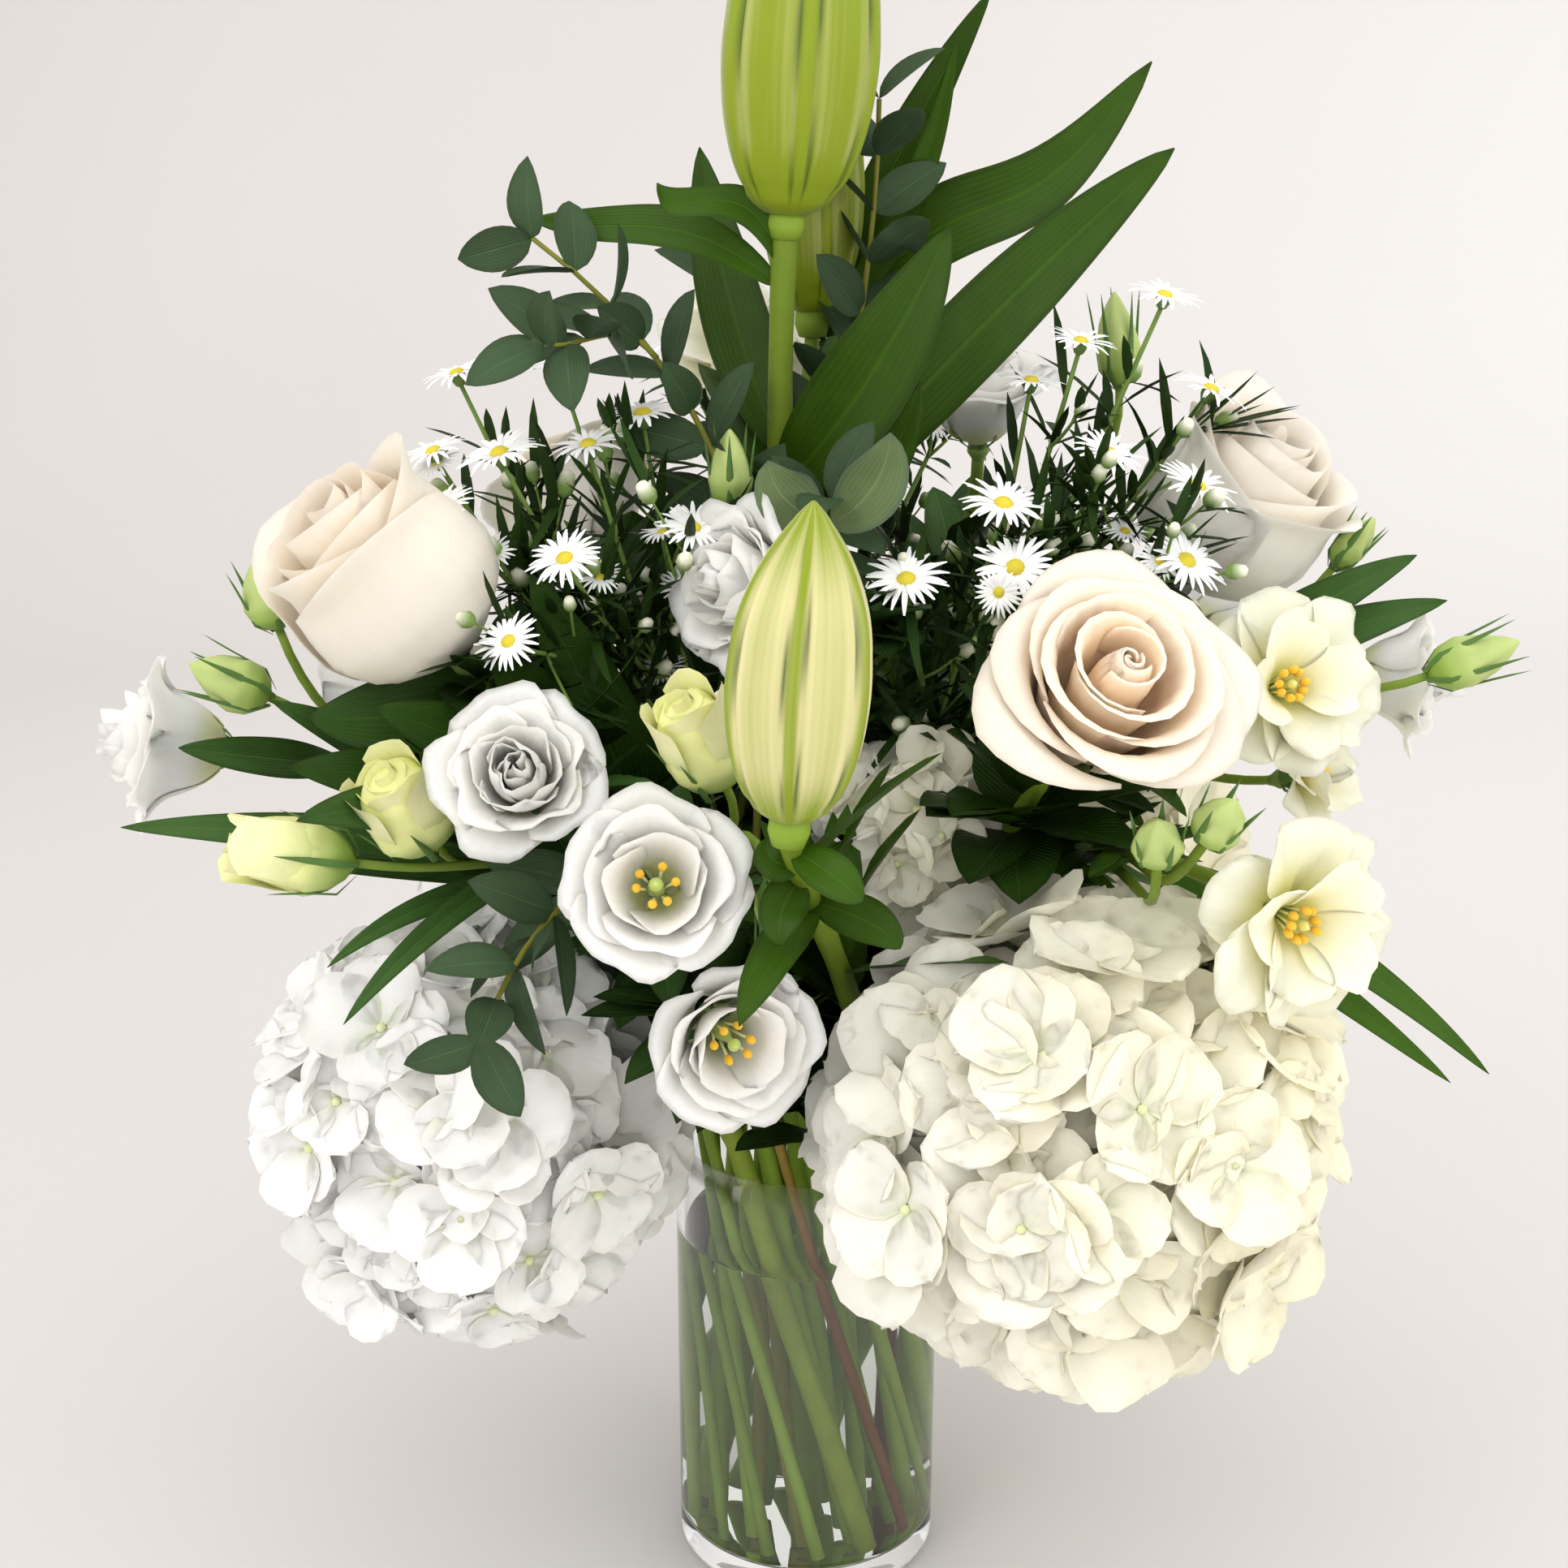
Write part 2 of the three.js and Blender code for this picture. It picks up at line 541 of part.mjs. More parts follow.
// A small flat flower on its stalk in one closed mesh: the rim round a sunk or raised eye, then a
// waist of three corners below it, and the far end of the stalk, which is a point or three corners.
function stalkFlower(rim, eye, waist, root) {
  const positions = [...rim, ...waist, eye, ...root];
  const count = rim.length;
  const share = count / 3;
  const index = [];
  for (let i = 0; i < count; i += 1) {
    const next = (i + 1) % count;
    const near = count + Math.floor(i / share);
    index.push(count + 3, i, next, near, next, i);
    if (next % share === 0) index.push(near, count + ((near - count + 1) % 3), next);
  }
  const end = count + 4;
  for (let k = 0; k < 3; k += 1) {
    const [a, b] = [k, (k + 1) % 3];
    if (root.length === 1) index.push(count + a, end, count + b);
    else index.push(count + a, end + a, count + b, count + b, end + a, end + b);
  }
  if (root.length > 1) index.push(end, end + 2, end + 1);
  const geometry = new THREE.BufferGeometry();
  geometry.setAttribute('position', new THREE.Float32BufferAttribute(positions.flat(), 3));
  geometry.setIndex(index);
  return toSolid(geometry);
}

// A point of a flower's outline: its distance from the eye, its bearing in degrees and its height.
function rimPoint(reach, degrees, height) {
  const angle = THREE.MathUtils.degToRad(degrees);
  return [reach * Math.cos(angle), reach * Math.sin(angle), height];
}

const triangle = (reach, height) => [60, 180, 300].map((degrees) => rimPoint(reach, degrees, height));

// A hydrangea floret: four round petals about a sunk eye, on a stalk that runs into the core.
function floret(radius, depth) {
  const rim = [0, 1, 2, 3].flatMap((k) => {
    const height = radius * (k % 2 ? 0.1 : -0.06);
    return [
      rimPoint(radius, 90 * k - 23, height), rimPoint(radius, 90 * k + 23, height),
      rimPoint(radius * 0.66, 90 * k + 45, 0),
    ];
  });
  return stalkFlower(rim, [0, 0, -radius * 0.1], triangle(radius * 0.14, -radius * 0.28), [[0, 0, -depth]]);
}

// A hydrangea: florets on even places all round a smaller core, left out about its stem.
function hydrangea({ size, florets }, seed) {
  const extent = vector(size);
  const core = new THREE.SphereGeometry(1, 9, 7);
  core.rotateX(Math.PI / 2);
  core.scale(extent.x * coreShare, extent.y * coreShare, extent.z * coreShare);
  core.translate(0, 0, extent.z * coreShare);
  const parts = [toSolid(core)];
  const mean = (extent.x + extent.y + extent.z) / 3;
  const radius = mean * Math.sqrt((4 * Math.PI) / florets) * 0.49;
  const centre = new THREE.Vector3(0, 0, extent.z * coreShare);
  const stemClear = Math.cos(Math.asin(radius / mean) + 0.2);
  for (let k = 0; k < florets; k += 1) {
    const height = 1 - (2 * k + 1) / florets;
    const turn = k * Math.PI * (3 - Math.sqrt(5));
    const ring = Math.sqrt(1 - height * height);
    const out = new THREE.Vector3(ring * Math.cos(turn), ring * Math.sin(turn), height);
    if (height < -stemClear) continue;
    const at = out.clone().multiply(extent).multiplyScalar(1 - 0.09 * draw(seed, k)).add(centre);
    const tilt = out.clone().add(new THREE.Vector3(
      draw(seed + 1, k) - 0.5, draw(seed + 2, k) - 0.5, draw(seed + 3, k) - 0.5,
    ).multiplyScalar(0.35)).normalize();
    const frame = flowerFrame(at, tilt.toArray());
    frame.multiply(new THREE.Matrix4().makeRotationZ(draw(seed + 4, k) * Math.PI));
    parts.push(place(floret(radius * (0.92 + 0.16 * draw(seed + 5, k)), mean * 0.6), frame));
  }
  return join(parts);
}

function bloomSolid(bloom, seed) {
  if (bloom.kind === 'hydrangea') return hydrangea(bloom, seed);
  if (bloom.kind === 'lily') return lilyBud(bloom.size);
  return layeredBloom(bloomForms[bloom.kind], bloom.size, seed);
}

// ---- The centerpiece

const centerpiece = new THREE.Group();
const placed = [];

// Adds a solid to the model, in a frame of its own where it has one.
function add(name, solid, look, frame = new THREE.Matrix4()) {
  const mesh = new THREE.Mesh(toGeometry(solid), new THREE.MeshStandardMaterial(looks[look]));
  mesh.name = name;
  frame.decompose(mesh.position, mesh.quaternion, mesh.scale);
  centerpiece.add(mesh);
}

function reserve(name, solid) {
  placed.push({ name, solid, box: solid.boundingBox() });
}

// Whether a solid keeps the gap to everything placed so far but its own stem.
function isClear(solid, owner) {
  const box = solid.boundingBox();
  return placed.every((other) => {
    if (other.name === owner) return true;
    const apart = [0, 1, 2].some((axis) => (
      box.min[axis] > other.box.max[axis] + gap || box.max[axis] < other.box.min[axis] - gap
    ));
    return apart || solid.minGap(other.solid, 2 * gap) >= gap;
  });
}

// The glass: a thick flat base, a plain wall and a fire-polished rim.
const inner = vaseRadius - vaseWall;
const vase = turned([
  [0, 0], [vaseRadius - 1.5, 0], [vaseRadius, 1.5], [vaseRadius, vaseHeight - 1.2],
  [vaseRadius - 0.9, vaseHeight], [inner + 0.9, vaseHeight], [inner, vaseHeight - 1.2],
  [inner, vaseBase + 3], [inner - 3, vaseBase], [0, vaseBase],
], vaseSegments);
add('vase', vase, 'glass');
reserve('vase', vase);

Object.entries(blooms).forEach(([name, bloom], seed) => {
  const frame = bloomFrame(bloom);
  const solid = bloomSolid(bloom, 10 * seed + 1);
  add(name, solid, bloom.kind, frame);
  reserve(name, place(solid, frame));
});

// The bare stems, their shoots, cups under the blooms and small buds, before any leaves.
const cupSizes = { rose: 7, roseBud: 8, lisianthus: 4.5, cream: 3.8 };

function cup(target) {
  const bloom = blooms[target.to];
  const size = bloom && cupSizes[bloom.kind];
  if (!size) return [];
  const profile = [[0, -1.5 * size], [size * 0.4, -1.5 * size], [size, -gap], [0, -gap]];
  return [place(turned(profile, 5), bloomFrame(bloom))];
}

// Thin stems have fewer sides.
function sidesOf({ radius }) {
  if (radius > 3.5) return 6;
  return radius > 3 ? 5 : 4;
}

const paths = {};
const frames = {};
const bareStems = {};
const waterHoles = [];
Object.entries(stems).forEach(([name, stem]) => {
  const path = stemPath(stem);
  paths[name] = path;
  const parts = [tube(path, stem.radius, sidesOf(stem), stemSteps), ...cup(stem)];
  (stem.shoots ?? []).forEach((shoot) => {
    const start = rootPoint(path.bend, bendSteps, shoot.from);
    const end = endOf(shoot);
    const bend = bendTo(start, path.bend.getTangent(shoot.from), end.point, end.facing, 0.4);
    parts.push(tube(bend, stem.radius * 0.7, 4, shootSteps), ...cup(shoot));
    if (shoot.bud) parts.push(place(spindle(shoot.size), flowerFrame(end.point, shoot.facing)));
  });
  bareStems[name] = join(parts);
  reserve(name, bareStems[name]);
  const below = path.foot.clone().lerp(path.bend.v0, -0.1);
  const above = path.foot.clone().lerp(path.bend.v0, 0.85);
  waterHoles.push(tube(new THREE.LineCurve3(below, above), stem.radius + 0.45, sidesOf(stem), 1));
});

// The water: it fills the glass below the waterline round the stems.
const waterRadius = inner - gap;
const water = turned([
  [0, vaseBase + gap], [inner - 3.2, vaseBase + gap], [waterRadius, vaseBase + 3.2], [waterRadius, waterLevel],
  [0, waterLevel],
], vaseSegments).subtract(join(waterHoles));
add('water', water, 'water');
reserve('water', water);

// ---- Foliage: each leaf, needle or small flower grows where it keeps clear of the other pieces.

// Leaves in a spiral up the free part of a stem.
function stemLeaves(name, stem, seed) {
  const [count, length, width] = stem.leaf;
  const candidates = [];
  for (let k = 0; k < count; k += 1) {
    const t = 0.12 + (0.76 * (k + 0.5 * draw(seed, k))) / count;
    const root = rootPoint(paths[name].bend, bendSteps, t);
    const along = paths[name].bend.getTangent(t);
    const turn = k * 2.4 + seed;
    const out = new THREE.Vector3(Math.cos(turn), Math.sin(turn), 0);
    out.addScaledVector(along, -out.dot(along)).normalize();
    const span = length * (0.8 + 0.4 * draw(seed + 1, k));
    const tip = root.clone().addScaledVector(out, span * 0.8).addScaledVector(along, span * 0.55);
    const bow = along.clone().multiplyScalar(span * 0.12);
    candidates.push(leaf(root, tip, bow, width, width > 20 ? 3 : 2));
  }
  return candidates;
}

// The long leaves of the lily, each to its own tip.
function longBlades(name, stem) {
  return (stem.blades ?? []).map(({ root, tip, bow, width }) => (
    leaf(rootPoint(paths[name].bend, bendSteps, root), vector(tip), vector(bow), width, 4, toFront)
  ));
}

// An aster: a star of six rays round a raised disc, on a straight branch back to the stem.
function aster(radius, frame, start) {
  const rim = Array.from({ length: 12 }, (_, i) => (
    i % 2 ? rimPoint(radius * 0.5, 30 * i, 0) : rimPoint(radius, 30 * i, radius * 0.15)
  ));
  const back = start.clone().applyMatrix4(frame.clone().invert());
  const root = triangle(1.9, 0).map(([x, y]) => [back.x + x, back.y + y, back.z]);
  return place(stalkFlower(rim, [0, 0, radius * 0.3], triangle(1.5, -radius * 0.4), root), frame);
}

// A needle leaf: a three-sided spike.
function needle(root, direction, length) {
  const spike = new THREE.ConeGeometry(1, length, 3);
  spike.rotateX(Math.PI / 2);
  spike.translate(0, 0, length / 2);
  return place(toSolid(spike), flowerFrame(root, direction.toArray()));
}

// The branches of an aster spray, each with its head, and needles up the stem and the branches.
function asterGrowth(name, stem, seed) {
  const { bend } = paths[name];
  const branches = [(t) => rootPoint(bend, bendSteps, t)];
  const crown = stem.heads.map((head, k) => {
    const from = 0.4 + (0.58 * (k + draw(seed, k))) / stem.heads.length;
    const start = rootPoint(bend, bendSteps, from);
    const at = vector(head);
    const facing = at.clone().sub(start).normalize().add(new THREE.Vector3(0, -0.35, 0.55)).normalize();
    const radius = 12 + 4 * draw(seed + 1, k);
    const end = at.clone().addScaledVector(facing, -radius * 0.4);
    const flower = aster(radius, flowerFrame(at, facing.toArray()), start);
    if (isClear(flower, name)) branches.push((t) => start.clone().lerp(end, t));
    return flower;
  });
  const needles = [];
  for (let k = 0; k < stem.needle; k += 1) {
    const path = branches[k % branches.length];
    const t = 0.3 + 0.5 * draw(seed + 2, k);
    const turn = 2 * Math.PI * draw(seed + 3, k);
    const along = path(1).sub(path(0.5)).normalize();
    const direction = new THREE.Vector3(Math.cos(turn), Math.sin(turn), 0.3).add(along);
    needles.push(needle(path(t), direction, 22 + 12 * draw(seed + 4, k)));
  }
  return [...crown, ...needles];
}

// Pairs of small oval leaves along the end of a eucalyptus branch, crosswise in turn.
function eucalyptusGrowth(name, stem, seed) {
  const { bend } = paths[name];
  const runs = [[bend, bendSteps, stem.from, stem.pairs]];
  const growth = [];
  if (stem.side) {
    const [tip, from] = stem.side;
    const start = rootPoint(bend, bendSteps, from);
    const facing = vector(tip).sub(start).normalize();
    const side = bendTo(start, bend.getTangent(from), vector(tip), facing, 0.4);
    growth.push(tube(side, stem.radius * 0.7, 4, shootSteps));
    runs.push([side, shootSteps, 0.3, 3]);
  }
  runs.forEach(([path, steps, from, pairs], run) => {
    for (let k = 0; k < pairs; k += 1) {
      const t = from + ((1 - from) * (k + 0.5)) / pairs;
      const root = rootPoint(path, steps, t);
      const along = path.getTangent(t);
      const turn = (k % 2) * (Math.PI / 2) + draw(seed + run, k);
      [0, Math.PI].forEach((half) => {
        const out = new THREE.Vector3(Math.cos(turn + half), Math.sin(turn + half), 0);
        out.addScaledVector(along, -out.dot(along)).normalize();
        const span = 30 - (10 * k) / pairs;
        const tip = root.clone().addScaledVector(out, span * 0.8).addScaledVector(along, span * 0.6);
        growth.push(leaf(root, tip, new THREE.Vector3(0, 0, 2), 10, 2));
      });
    }
  });
  return growth;
}

Object.entries(stems).forEach(([name, stem], number) => {
  const seed = 400 + 10 * number;
  const candidates = [];
  if (stem.leaf) {
    candidates.push(...longBlades(name, stem), ...stemLeaves(name, stem, seed));
  }
  if (stem.heads) candidates.push(...asterGrowth(name, stem, seed));
  if (stem.pairs) candidates.push(...eucalyptusGrowth(name, stem, seed));
  const kept = candidates.filter((candidate) => isClear(candidate, name));
  const grown = join([bareStems[name], ...kept]);
  reserve(name, grown);
  add(name, grown, stem.pairs ? 'eucalyptus' : 'stem');
});

export default centerpiece;
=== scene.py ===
"""A floral table centerpiece: white and cream flowers, lily buds and greenery in a glass cylinder of water.

Lengths are in millimetres until a piece is finished, when its points become metres in the row frame:
the origin is the centre of the vase's underside, +Z is up and the front looks along -Y.
"""
import math

import bpy
import numpy as np
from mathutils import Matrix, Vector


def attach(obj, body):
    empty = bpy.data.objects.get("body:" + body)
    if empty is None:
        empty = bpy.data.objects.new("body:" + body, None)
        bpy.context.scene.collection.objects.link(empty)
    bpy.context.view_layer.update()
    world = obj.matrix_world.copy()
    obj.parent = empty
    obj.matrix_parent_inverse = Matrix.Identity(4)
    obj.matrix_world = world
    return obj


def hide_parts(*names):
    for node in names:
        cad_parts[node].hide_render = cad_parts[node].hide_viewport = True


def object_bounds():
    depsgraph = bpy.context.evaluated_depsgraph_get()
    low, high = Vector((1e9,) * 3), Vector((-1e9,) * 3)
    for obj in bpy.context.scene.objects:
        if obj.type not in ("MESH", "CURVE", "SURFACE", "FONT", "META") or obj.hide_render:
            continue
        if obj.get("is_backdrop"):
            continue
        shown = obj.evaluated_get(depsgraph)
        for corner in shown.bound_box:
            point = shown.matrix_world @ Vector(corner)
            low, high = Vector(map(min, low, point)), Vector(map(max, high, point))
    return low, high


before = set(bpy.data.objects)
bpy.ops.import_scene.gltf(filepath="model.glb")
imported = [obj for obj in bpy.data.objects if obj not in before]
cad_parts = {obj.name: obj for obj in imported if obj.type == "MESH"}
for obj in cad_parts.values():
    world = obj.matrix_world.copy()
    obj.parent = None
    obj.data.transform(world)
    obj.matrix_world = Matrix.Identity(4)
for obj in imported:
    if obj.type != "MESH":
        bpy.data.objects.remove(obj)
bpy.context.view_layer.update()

# The photographer's place: straight in front and above the middle of the flowers, looking 18 degrees
# down at the vase, with a lens a little longer than a normal one.
camera = bpy.data.objects.new("camera", bpy.data.cameras.new("camera"))
bpy.context.scene.collection.objects.link(camera)
camera.location = (-0.009, -0.8179, 0.58275)
camera.rotation_euler = (math.radians(72), 0, 0)
camera.data.sensor_width = 36
camera.data.lens = 53.66
camera.data.clip_start = 0.05
bpy.context.scene.camera = camera


class Value:
    """A socket of a shader, whose arithmetic adds Math nodes to its tree."""

    def __init__(self, tree, socket):
        self.tree = tree
        self.socket = socket

    def math(self, operation, *others):
        made = self.tree.nodes.new("ShaderNodeMath")
        made.operation = operation
        for target, value in zip(made.inputs, (self, *others)):
            feed(self.tree, value, target)
        return Value(self.tree, made.outputs[0])

    def __add__(self, other):
        return self.math("ADD", other)

    def __sub__(self, other):
        return self.math("SUBTRACT", other)

    def __mul__(self, other):
        return self.math("MULTIPLY", other)

    def __pow__(self, other):
        return self.math("POWER", other)

    def __radd__(self, other):
        return self + other

    def __rmul__(self, other):
        return self * other

    def __rsub__(self, other):
        return (self * -1) + other

    def part(self, axis):
        """One component of a vector."""
        return node(self.tree, "ShaderNodeSeparateXYZ", output=axis, Vector=self)


def feed(tree, value, target):
    """Links a Value to a node's input, or sets the input to a plain number or colour."""
    if isinstance(value, Value):
        tree.links.new(value.socket, target)
    else:
        target.default_value = value


def node(tree, kind, settings=(), output=0, numbered=(), **inputs):
    """Adds a node, sets its properties and its inputs, by number or name, and gives an output as a Value."""
    made = tree.nodes.new(kind)
    for key, value in dict(settings).items():
        setattr(made, key, value)
    for number, value in dict(numbered).items():
        feed(tree, value, made.inputs[number])
    for key, value in inputs.items():
        feed(tree, value, made.inputs[key.replace("_", " ")])
    return Value(tree, made.outputs[output])


def new_material(name, **inputs):
    """A material with one Principled BSDF, whose constants are given by name."""
    material = bpy.data.materials.new(name)
    material.use_nodes = True
    shader = material.node_tree.nodes["Principled BSDF"]
    for key, value in inputs.items():
        shader.inputs[key.replace("_", " ")].default_value = value
    return material, material.node_tree, shader


# The studio: a seamless sheet of warm white paper that runs forward under the vase and curves up behind it,
# its colour painted lighter toward the right as painted light. One big soft light stands high on the left,
# weaker ones on the right, in front and above, all in a pale surround.
angle = np.linspace(0, math.pi / 2, 24)
sweep_y = np.concatenate([[-3.0], 1.3 + 0.9 * np.sin(angle), [2.2]])
sweep_z = np.concatenate([[0.0], 0.9 - 0.9 * np.cos(angle), [3.5]])
sweep = [(x, y, z - 0.0003) for y, z in zip(sweep_y, sweep_z) for x in (-4.0, 4.0)]
paper = bpy.data.meshes.new("paper_sweep")
paper.from_pydata(sweep, [], [(2 * k, 2 * k + 1, 2 * k + 3, 2 * k + 2) for k in range(len(sweep) // 2 - 1)])
paper.polygons.foreach_set("use_smooth", [True] * len(paper.polygons))
backdrop = bpy.data.objects.new("paper_sweep", paper)
bpy.context.scene.collection.objects.link(backdrop)
paper_material, tree, shader = new_material("paper", Roughness=0.9, Specular_IOR_Level=0.1)
place = node(tree, "ShaderNodeTexCoord", output=3)
grain = node(tree, "ShaderNodeTexNoise", Vector=place, Scale=1.2, Detail=2.0)
# Painted light: the paper's colour grows lighter toward the right, with a random grain of tone mixed in.
painted_light_rightward = place.part(0) * 0.5 + grain * 0.4 + 0.3
paper_painted_shade_left, paper_painted_light_right = (0.615, 0.592, 0.575, 1), (0.752, 0.736, 0.727, 1)
tone = node(tree, "ShaderNodeMix", {"data_type": "RGBA"}, 2, {0: painted_light_rightward, 6: paper_painted_shade_left, 7: paper_painted_light_right})
feed(tree, tone, shader.inputs["Base Color"])
paper.materials.append(paper_material)
backdrop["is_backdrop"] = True

world = bpy.data.worlds.new("studio")
world.use_nodes = True
world.node_tree.nodes["Background"].inputs["Color"].default_value = (1.0, 0.985, 0.97, 1)
world.node_tree.nodes["Background"].inputs["Strength"].default_value = 1.2
bpy.context.scene.world = world
bpy.context.scene.view_settings.view_transform = "Standard"


def soft_light(name, place, aim, size, power):
    """A square area light at a place, turned to its aim."""
    lamp = bpy.data.lights.new(name, "AREA")
    lamp.size = size
    lamp.energy = power
    lamp.color = (1.0, 0.985, 0.965)
    light = bpy.data.objects.new(name, lamp)
    light.location = place
    toward = Vector(aim) - Vector(place)
    light.rotation_euler = toward.to_track_quat("-Z", "Y").to_euler()
    bpy.context.scene.collection.objects.link(light)


soft_light("key_light", (-1.5, -1.5, 1.9), (0, 0, 0.35), 1.4, 15)
soft_light("fill_light", (1.7, -1.2, 1.3), (0, 0, 0.35), 1.2, 7)
soft_light("front_light", (0.3, -2.1, 0.45), (0, 0, 0.3), 1.6, 4)
soft_light("top_light", (0.2, -0.2, 2.4), (0, 0, 0.2), 1.8, 6)


# The petals and leaves: thin living sheets, a third of a millimetre to a millimetre thick, and the
# round stems, buds and stalks. Both are laid out as grids of points and closed all round.
def unit(vectors):
    """Each vector divided by its length."""
    return vectors / np.maximum(np.linalg.norm(vectors, axis=-1, keepdims=True), 1e-9)


def draw(seed, count):
    """The fair draw in [0, 1) of two whole numbers: the fraction of sin(127.1 a + 311.7 b) * 43758.5453."""
    value = np.sin(seed * 127.1 + np.asarray(count) * 311.7) * 43758.5453
    return value - np.floor(value)


def flower_axes(facing):
    """Axes of flowers as columns: Z is the facing, X is up cross Z, and Y is Z cross X."""
    z = unit(np.asarray(facing, float))
    x = np.cross([0.0, 0.0, 1.0], z)
    upright = np.linalg.norm(x, axis=-1, keepdims=True) < 0.1
    x = unit(np.where(upright, np.array([1.0, 0, 0]) - z * z[..., :1], x))
    return np.stack([x, np.cross(z, x), z], -1)


def moved(points, axes, origin):
    """Grids of points (N, A, B, 3) turned by axes (N, 3, 3) and moved to origins (N, 3)."""
    return np.einsum("nabj,nij->nabi", points, axes) + np.asarray(origin)[:, None, None]


class Piece:
    """Gathers closed grids, with a colour and a surface coordinate at each point, into one mesh."""

    def __init__(self):
        self.points = []
        self.quads = []
        self.paint = []
        self.surface = []
        self.total = 0

    def add(self, points, quads, paint, surface):
        """Adds N like shapes: points (N, M, 3) and the quads (Q, 4) of one of them."""
        count, size, _ = points.shape
        starts = self.total + size * np.arange(count)[:, None, None]
        self.quads.append((quads[None] + starts).reshape(-1, 4))
        for store, value in ((self.points, points), (self.paint, paint), (self.surface, surface)):
            store.append(np.broadcast_to(value, points.shape).reshape(-1, 3))
        self.total += count * size

    def sheets(self, points, thickness, paint, surface, under=None):
        """Thin sheets on grids (N, U, V, 3): the two faces part inside the edge that they share."""
        count, rows, columns, _ = points.shape
        normal = unit(np.cross(np.gradient(points, axis=2), np.gradient(points, axis=1)))
        inside = np.zeros((rows, columns), bool)
        inside[1:-1, 1:-1] = True
        upper = points + 0.5 * thickness * inside[..., None] * normal
        lower = points - 0.5 * thickness * inside[..., None] * normal
        top = np.arange(rows * columns).reshape(rows, columns)
        bottom = top.copy()
        bottom[inside] = rows * columns + np.arange(inside.sum())
        quads = [np.stack([g[:-1, :-1], g[:-1, 1:], g[1:, 1:], g[1:, :-1]], -1).reshape(-1, 4)
                 for g in (top, bottom)]
        below = paint if under is None else under

        def both(a, b):
            a = np.broadcast_to(a, points.shape)
            b = np.broadcast_to(b, points.shape)
            return np.concatenate([a.reshape(count, -1, 3), b[:, inside]], 1)

        self.add(both(upper, lower), np.concatenate([quads[0], quads[1][:, ::-1]]),
                 both(paint, below), both(surface, surface))

    def rings(self, points, paint, surface):
        """Round shapes on rings (N, K, S, 3) that run counterclockwise about their way, ends capped."""
        count, rows, sides, _ = points.shape
        ring = np.arange(rows * sides).reshape(rows, sides)
        turned = np.roll(ring, -1, axis=1)
        wall = np.stack([ring[:-1], turned[:-1], turned[1:], ring[1:]], -1).reshape(-1, 4)
        k = np.arange(sides // 2 - 1)
        cap = np.stack([k, k + 1, sides - 2 - k, sides - 1 - k], -1)
        quads = np.concatenate([wall, cap[:, ::-1], cap + (rows - 1) * sides])
        flat = [np.broadcast_to(v, points.shape).reshape(count, -1, 3) for v in (points, paint, surface)]
        self.add(flat[0], quads, flat[1], flat[2])

    def finish(self, name, material, slot, *nodes):
        """Makes the mesh object in metres, hangs it from the root body and hides the CAD nodes that it stands
        for.
        """
        points = np.concatenate(self.points) * 0.001
        quads = np.concatenate(self.quads)
        mesh = bpy.data.meshes.new(name)
        mesh.vertices.add(len(points))
        mesh.vertices.foreach_set("co", points.astype(np.float32).ravel())
        mesh.loops.add(quads.size)
        mesh.loops.foreach_set("vertex_index", quads.astype(np.int32).ravel())
        mesh.polygons.add(len(quads))
        mesh.polygons.foreach_set("loop_start", np.arange(0, quads.size, 4, dtype=np.int32))
        mesh.polygons.foreach_set("use_smooth", np.ones(len(quads), bool))
        colour = mesh.attributes.new("paint", "FLOAT_COLOR", "POINT")
        rgba = np.concatenate([np.concatenate(self.paint), np.ones((len(points), 1))], 1)
        colour.data.foreach_set("color", rgba.astype(np.float32).ravel())
        surface = mesh.attributes.new("surface", "FLOAT_VECTOR", "POINT")
        surface.data.foreach_set("vector", np.concatenate(self.surface).astype(np.float32).ravel())
        mesh.update(calc_edges=True)
        mesh.validate()
        mesh.set_sharp_from_angle(angle=math.radians(110))
        mesh.materials.append(material)
        made = bpy.data.objects.new(name, mesh)
        bpy.context.scene.collection.objects.link(made)
        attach(made, "root")
        if nodes:
            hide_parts(*nodes)
        return made


def tubes(paths, radii, sides):
    """Rings along paths (N, K, 3): centre + radius * (side cos a + up sin a), the side carried untwisted."""
    way = unit(np.gradient(paths, axis=1))
    side = np.empty_like(way)
    side[:, 0] = unit(np.cross(way[:, 0], [0.31, 0.86, 0.4]))
    for k in range(1, way.shape[1]):
        last = side[:, k - 1]
        side[:, k] = unit(last - way[:, k] * np.sum(last * way[:, k], -1, keepdims=True))
    up = np.cross(way, side)
    around = 2 * np.pi * np.arange(sides) / sides
    spokes = side[:, :, None] * np.cos(around)[:, None] + up[:, :, None] * np.sin(around)[:, None]
    return paths[:, :, None] + np.broadcast_to(radii, way.shape[:2])[..., None, None] * spokes


def turned(profile, sides):
    """Rings of a turned shape (1, K, S, 3) from a profile of [radius, height]."""
    radius, height = np.asarray(profile, float).T[..., None]
    around = 2 * np.pi * np.arange(sides) / sides
    flat = np.broadcast_to(height, (len(profile), sides))
    return np.stack([radius * np.cos(around), radius * np.sin(around), flat], -1)[None]


def bezier(controls, t):
    """Points at t (K) on quadratic or cubic curves through controls (N, 3 or 4, 3)."""
    controls = np.asarray(controls, float)
    degree = controls.shape[1] - 1
    weights = [math.comb(degree, i) * (1 - t) ** (degree - i) * t ** i for i in range(degree + 1)]
    return np.einsum("ik,nij->nkj", np.array(weights), controls)


# The surface coordinate of a part that has no veins or ribs of its own.
PLAIN = (0, 0.5, 0.3)


def step(low, high, value):
    """A smooth rise from 0 to 1 as the value goes from low to high."""
    share = np.clip((value - low) / (high - low), 0, 1)
    return share * share * (3 - 2 * share)


def mix(a, b, share):
    """Colours a and b mixed by a share, which may be an array."""
    share = np.asarray(share)[..., None]
    return np.asarray(a) * (1 - share) + np.asarray(b) * share


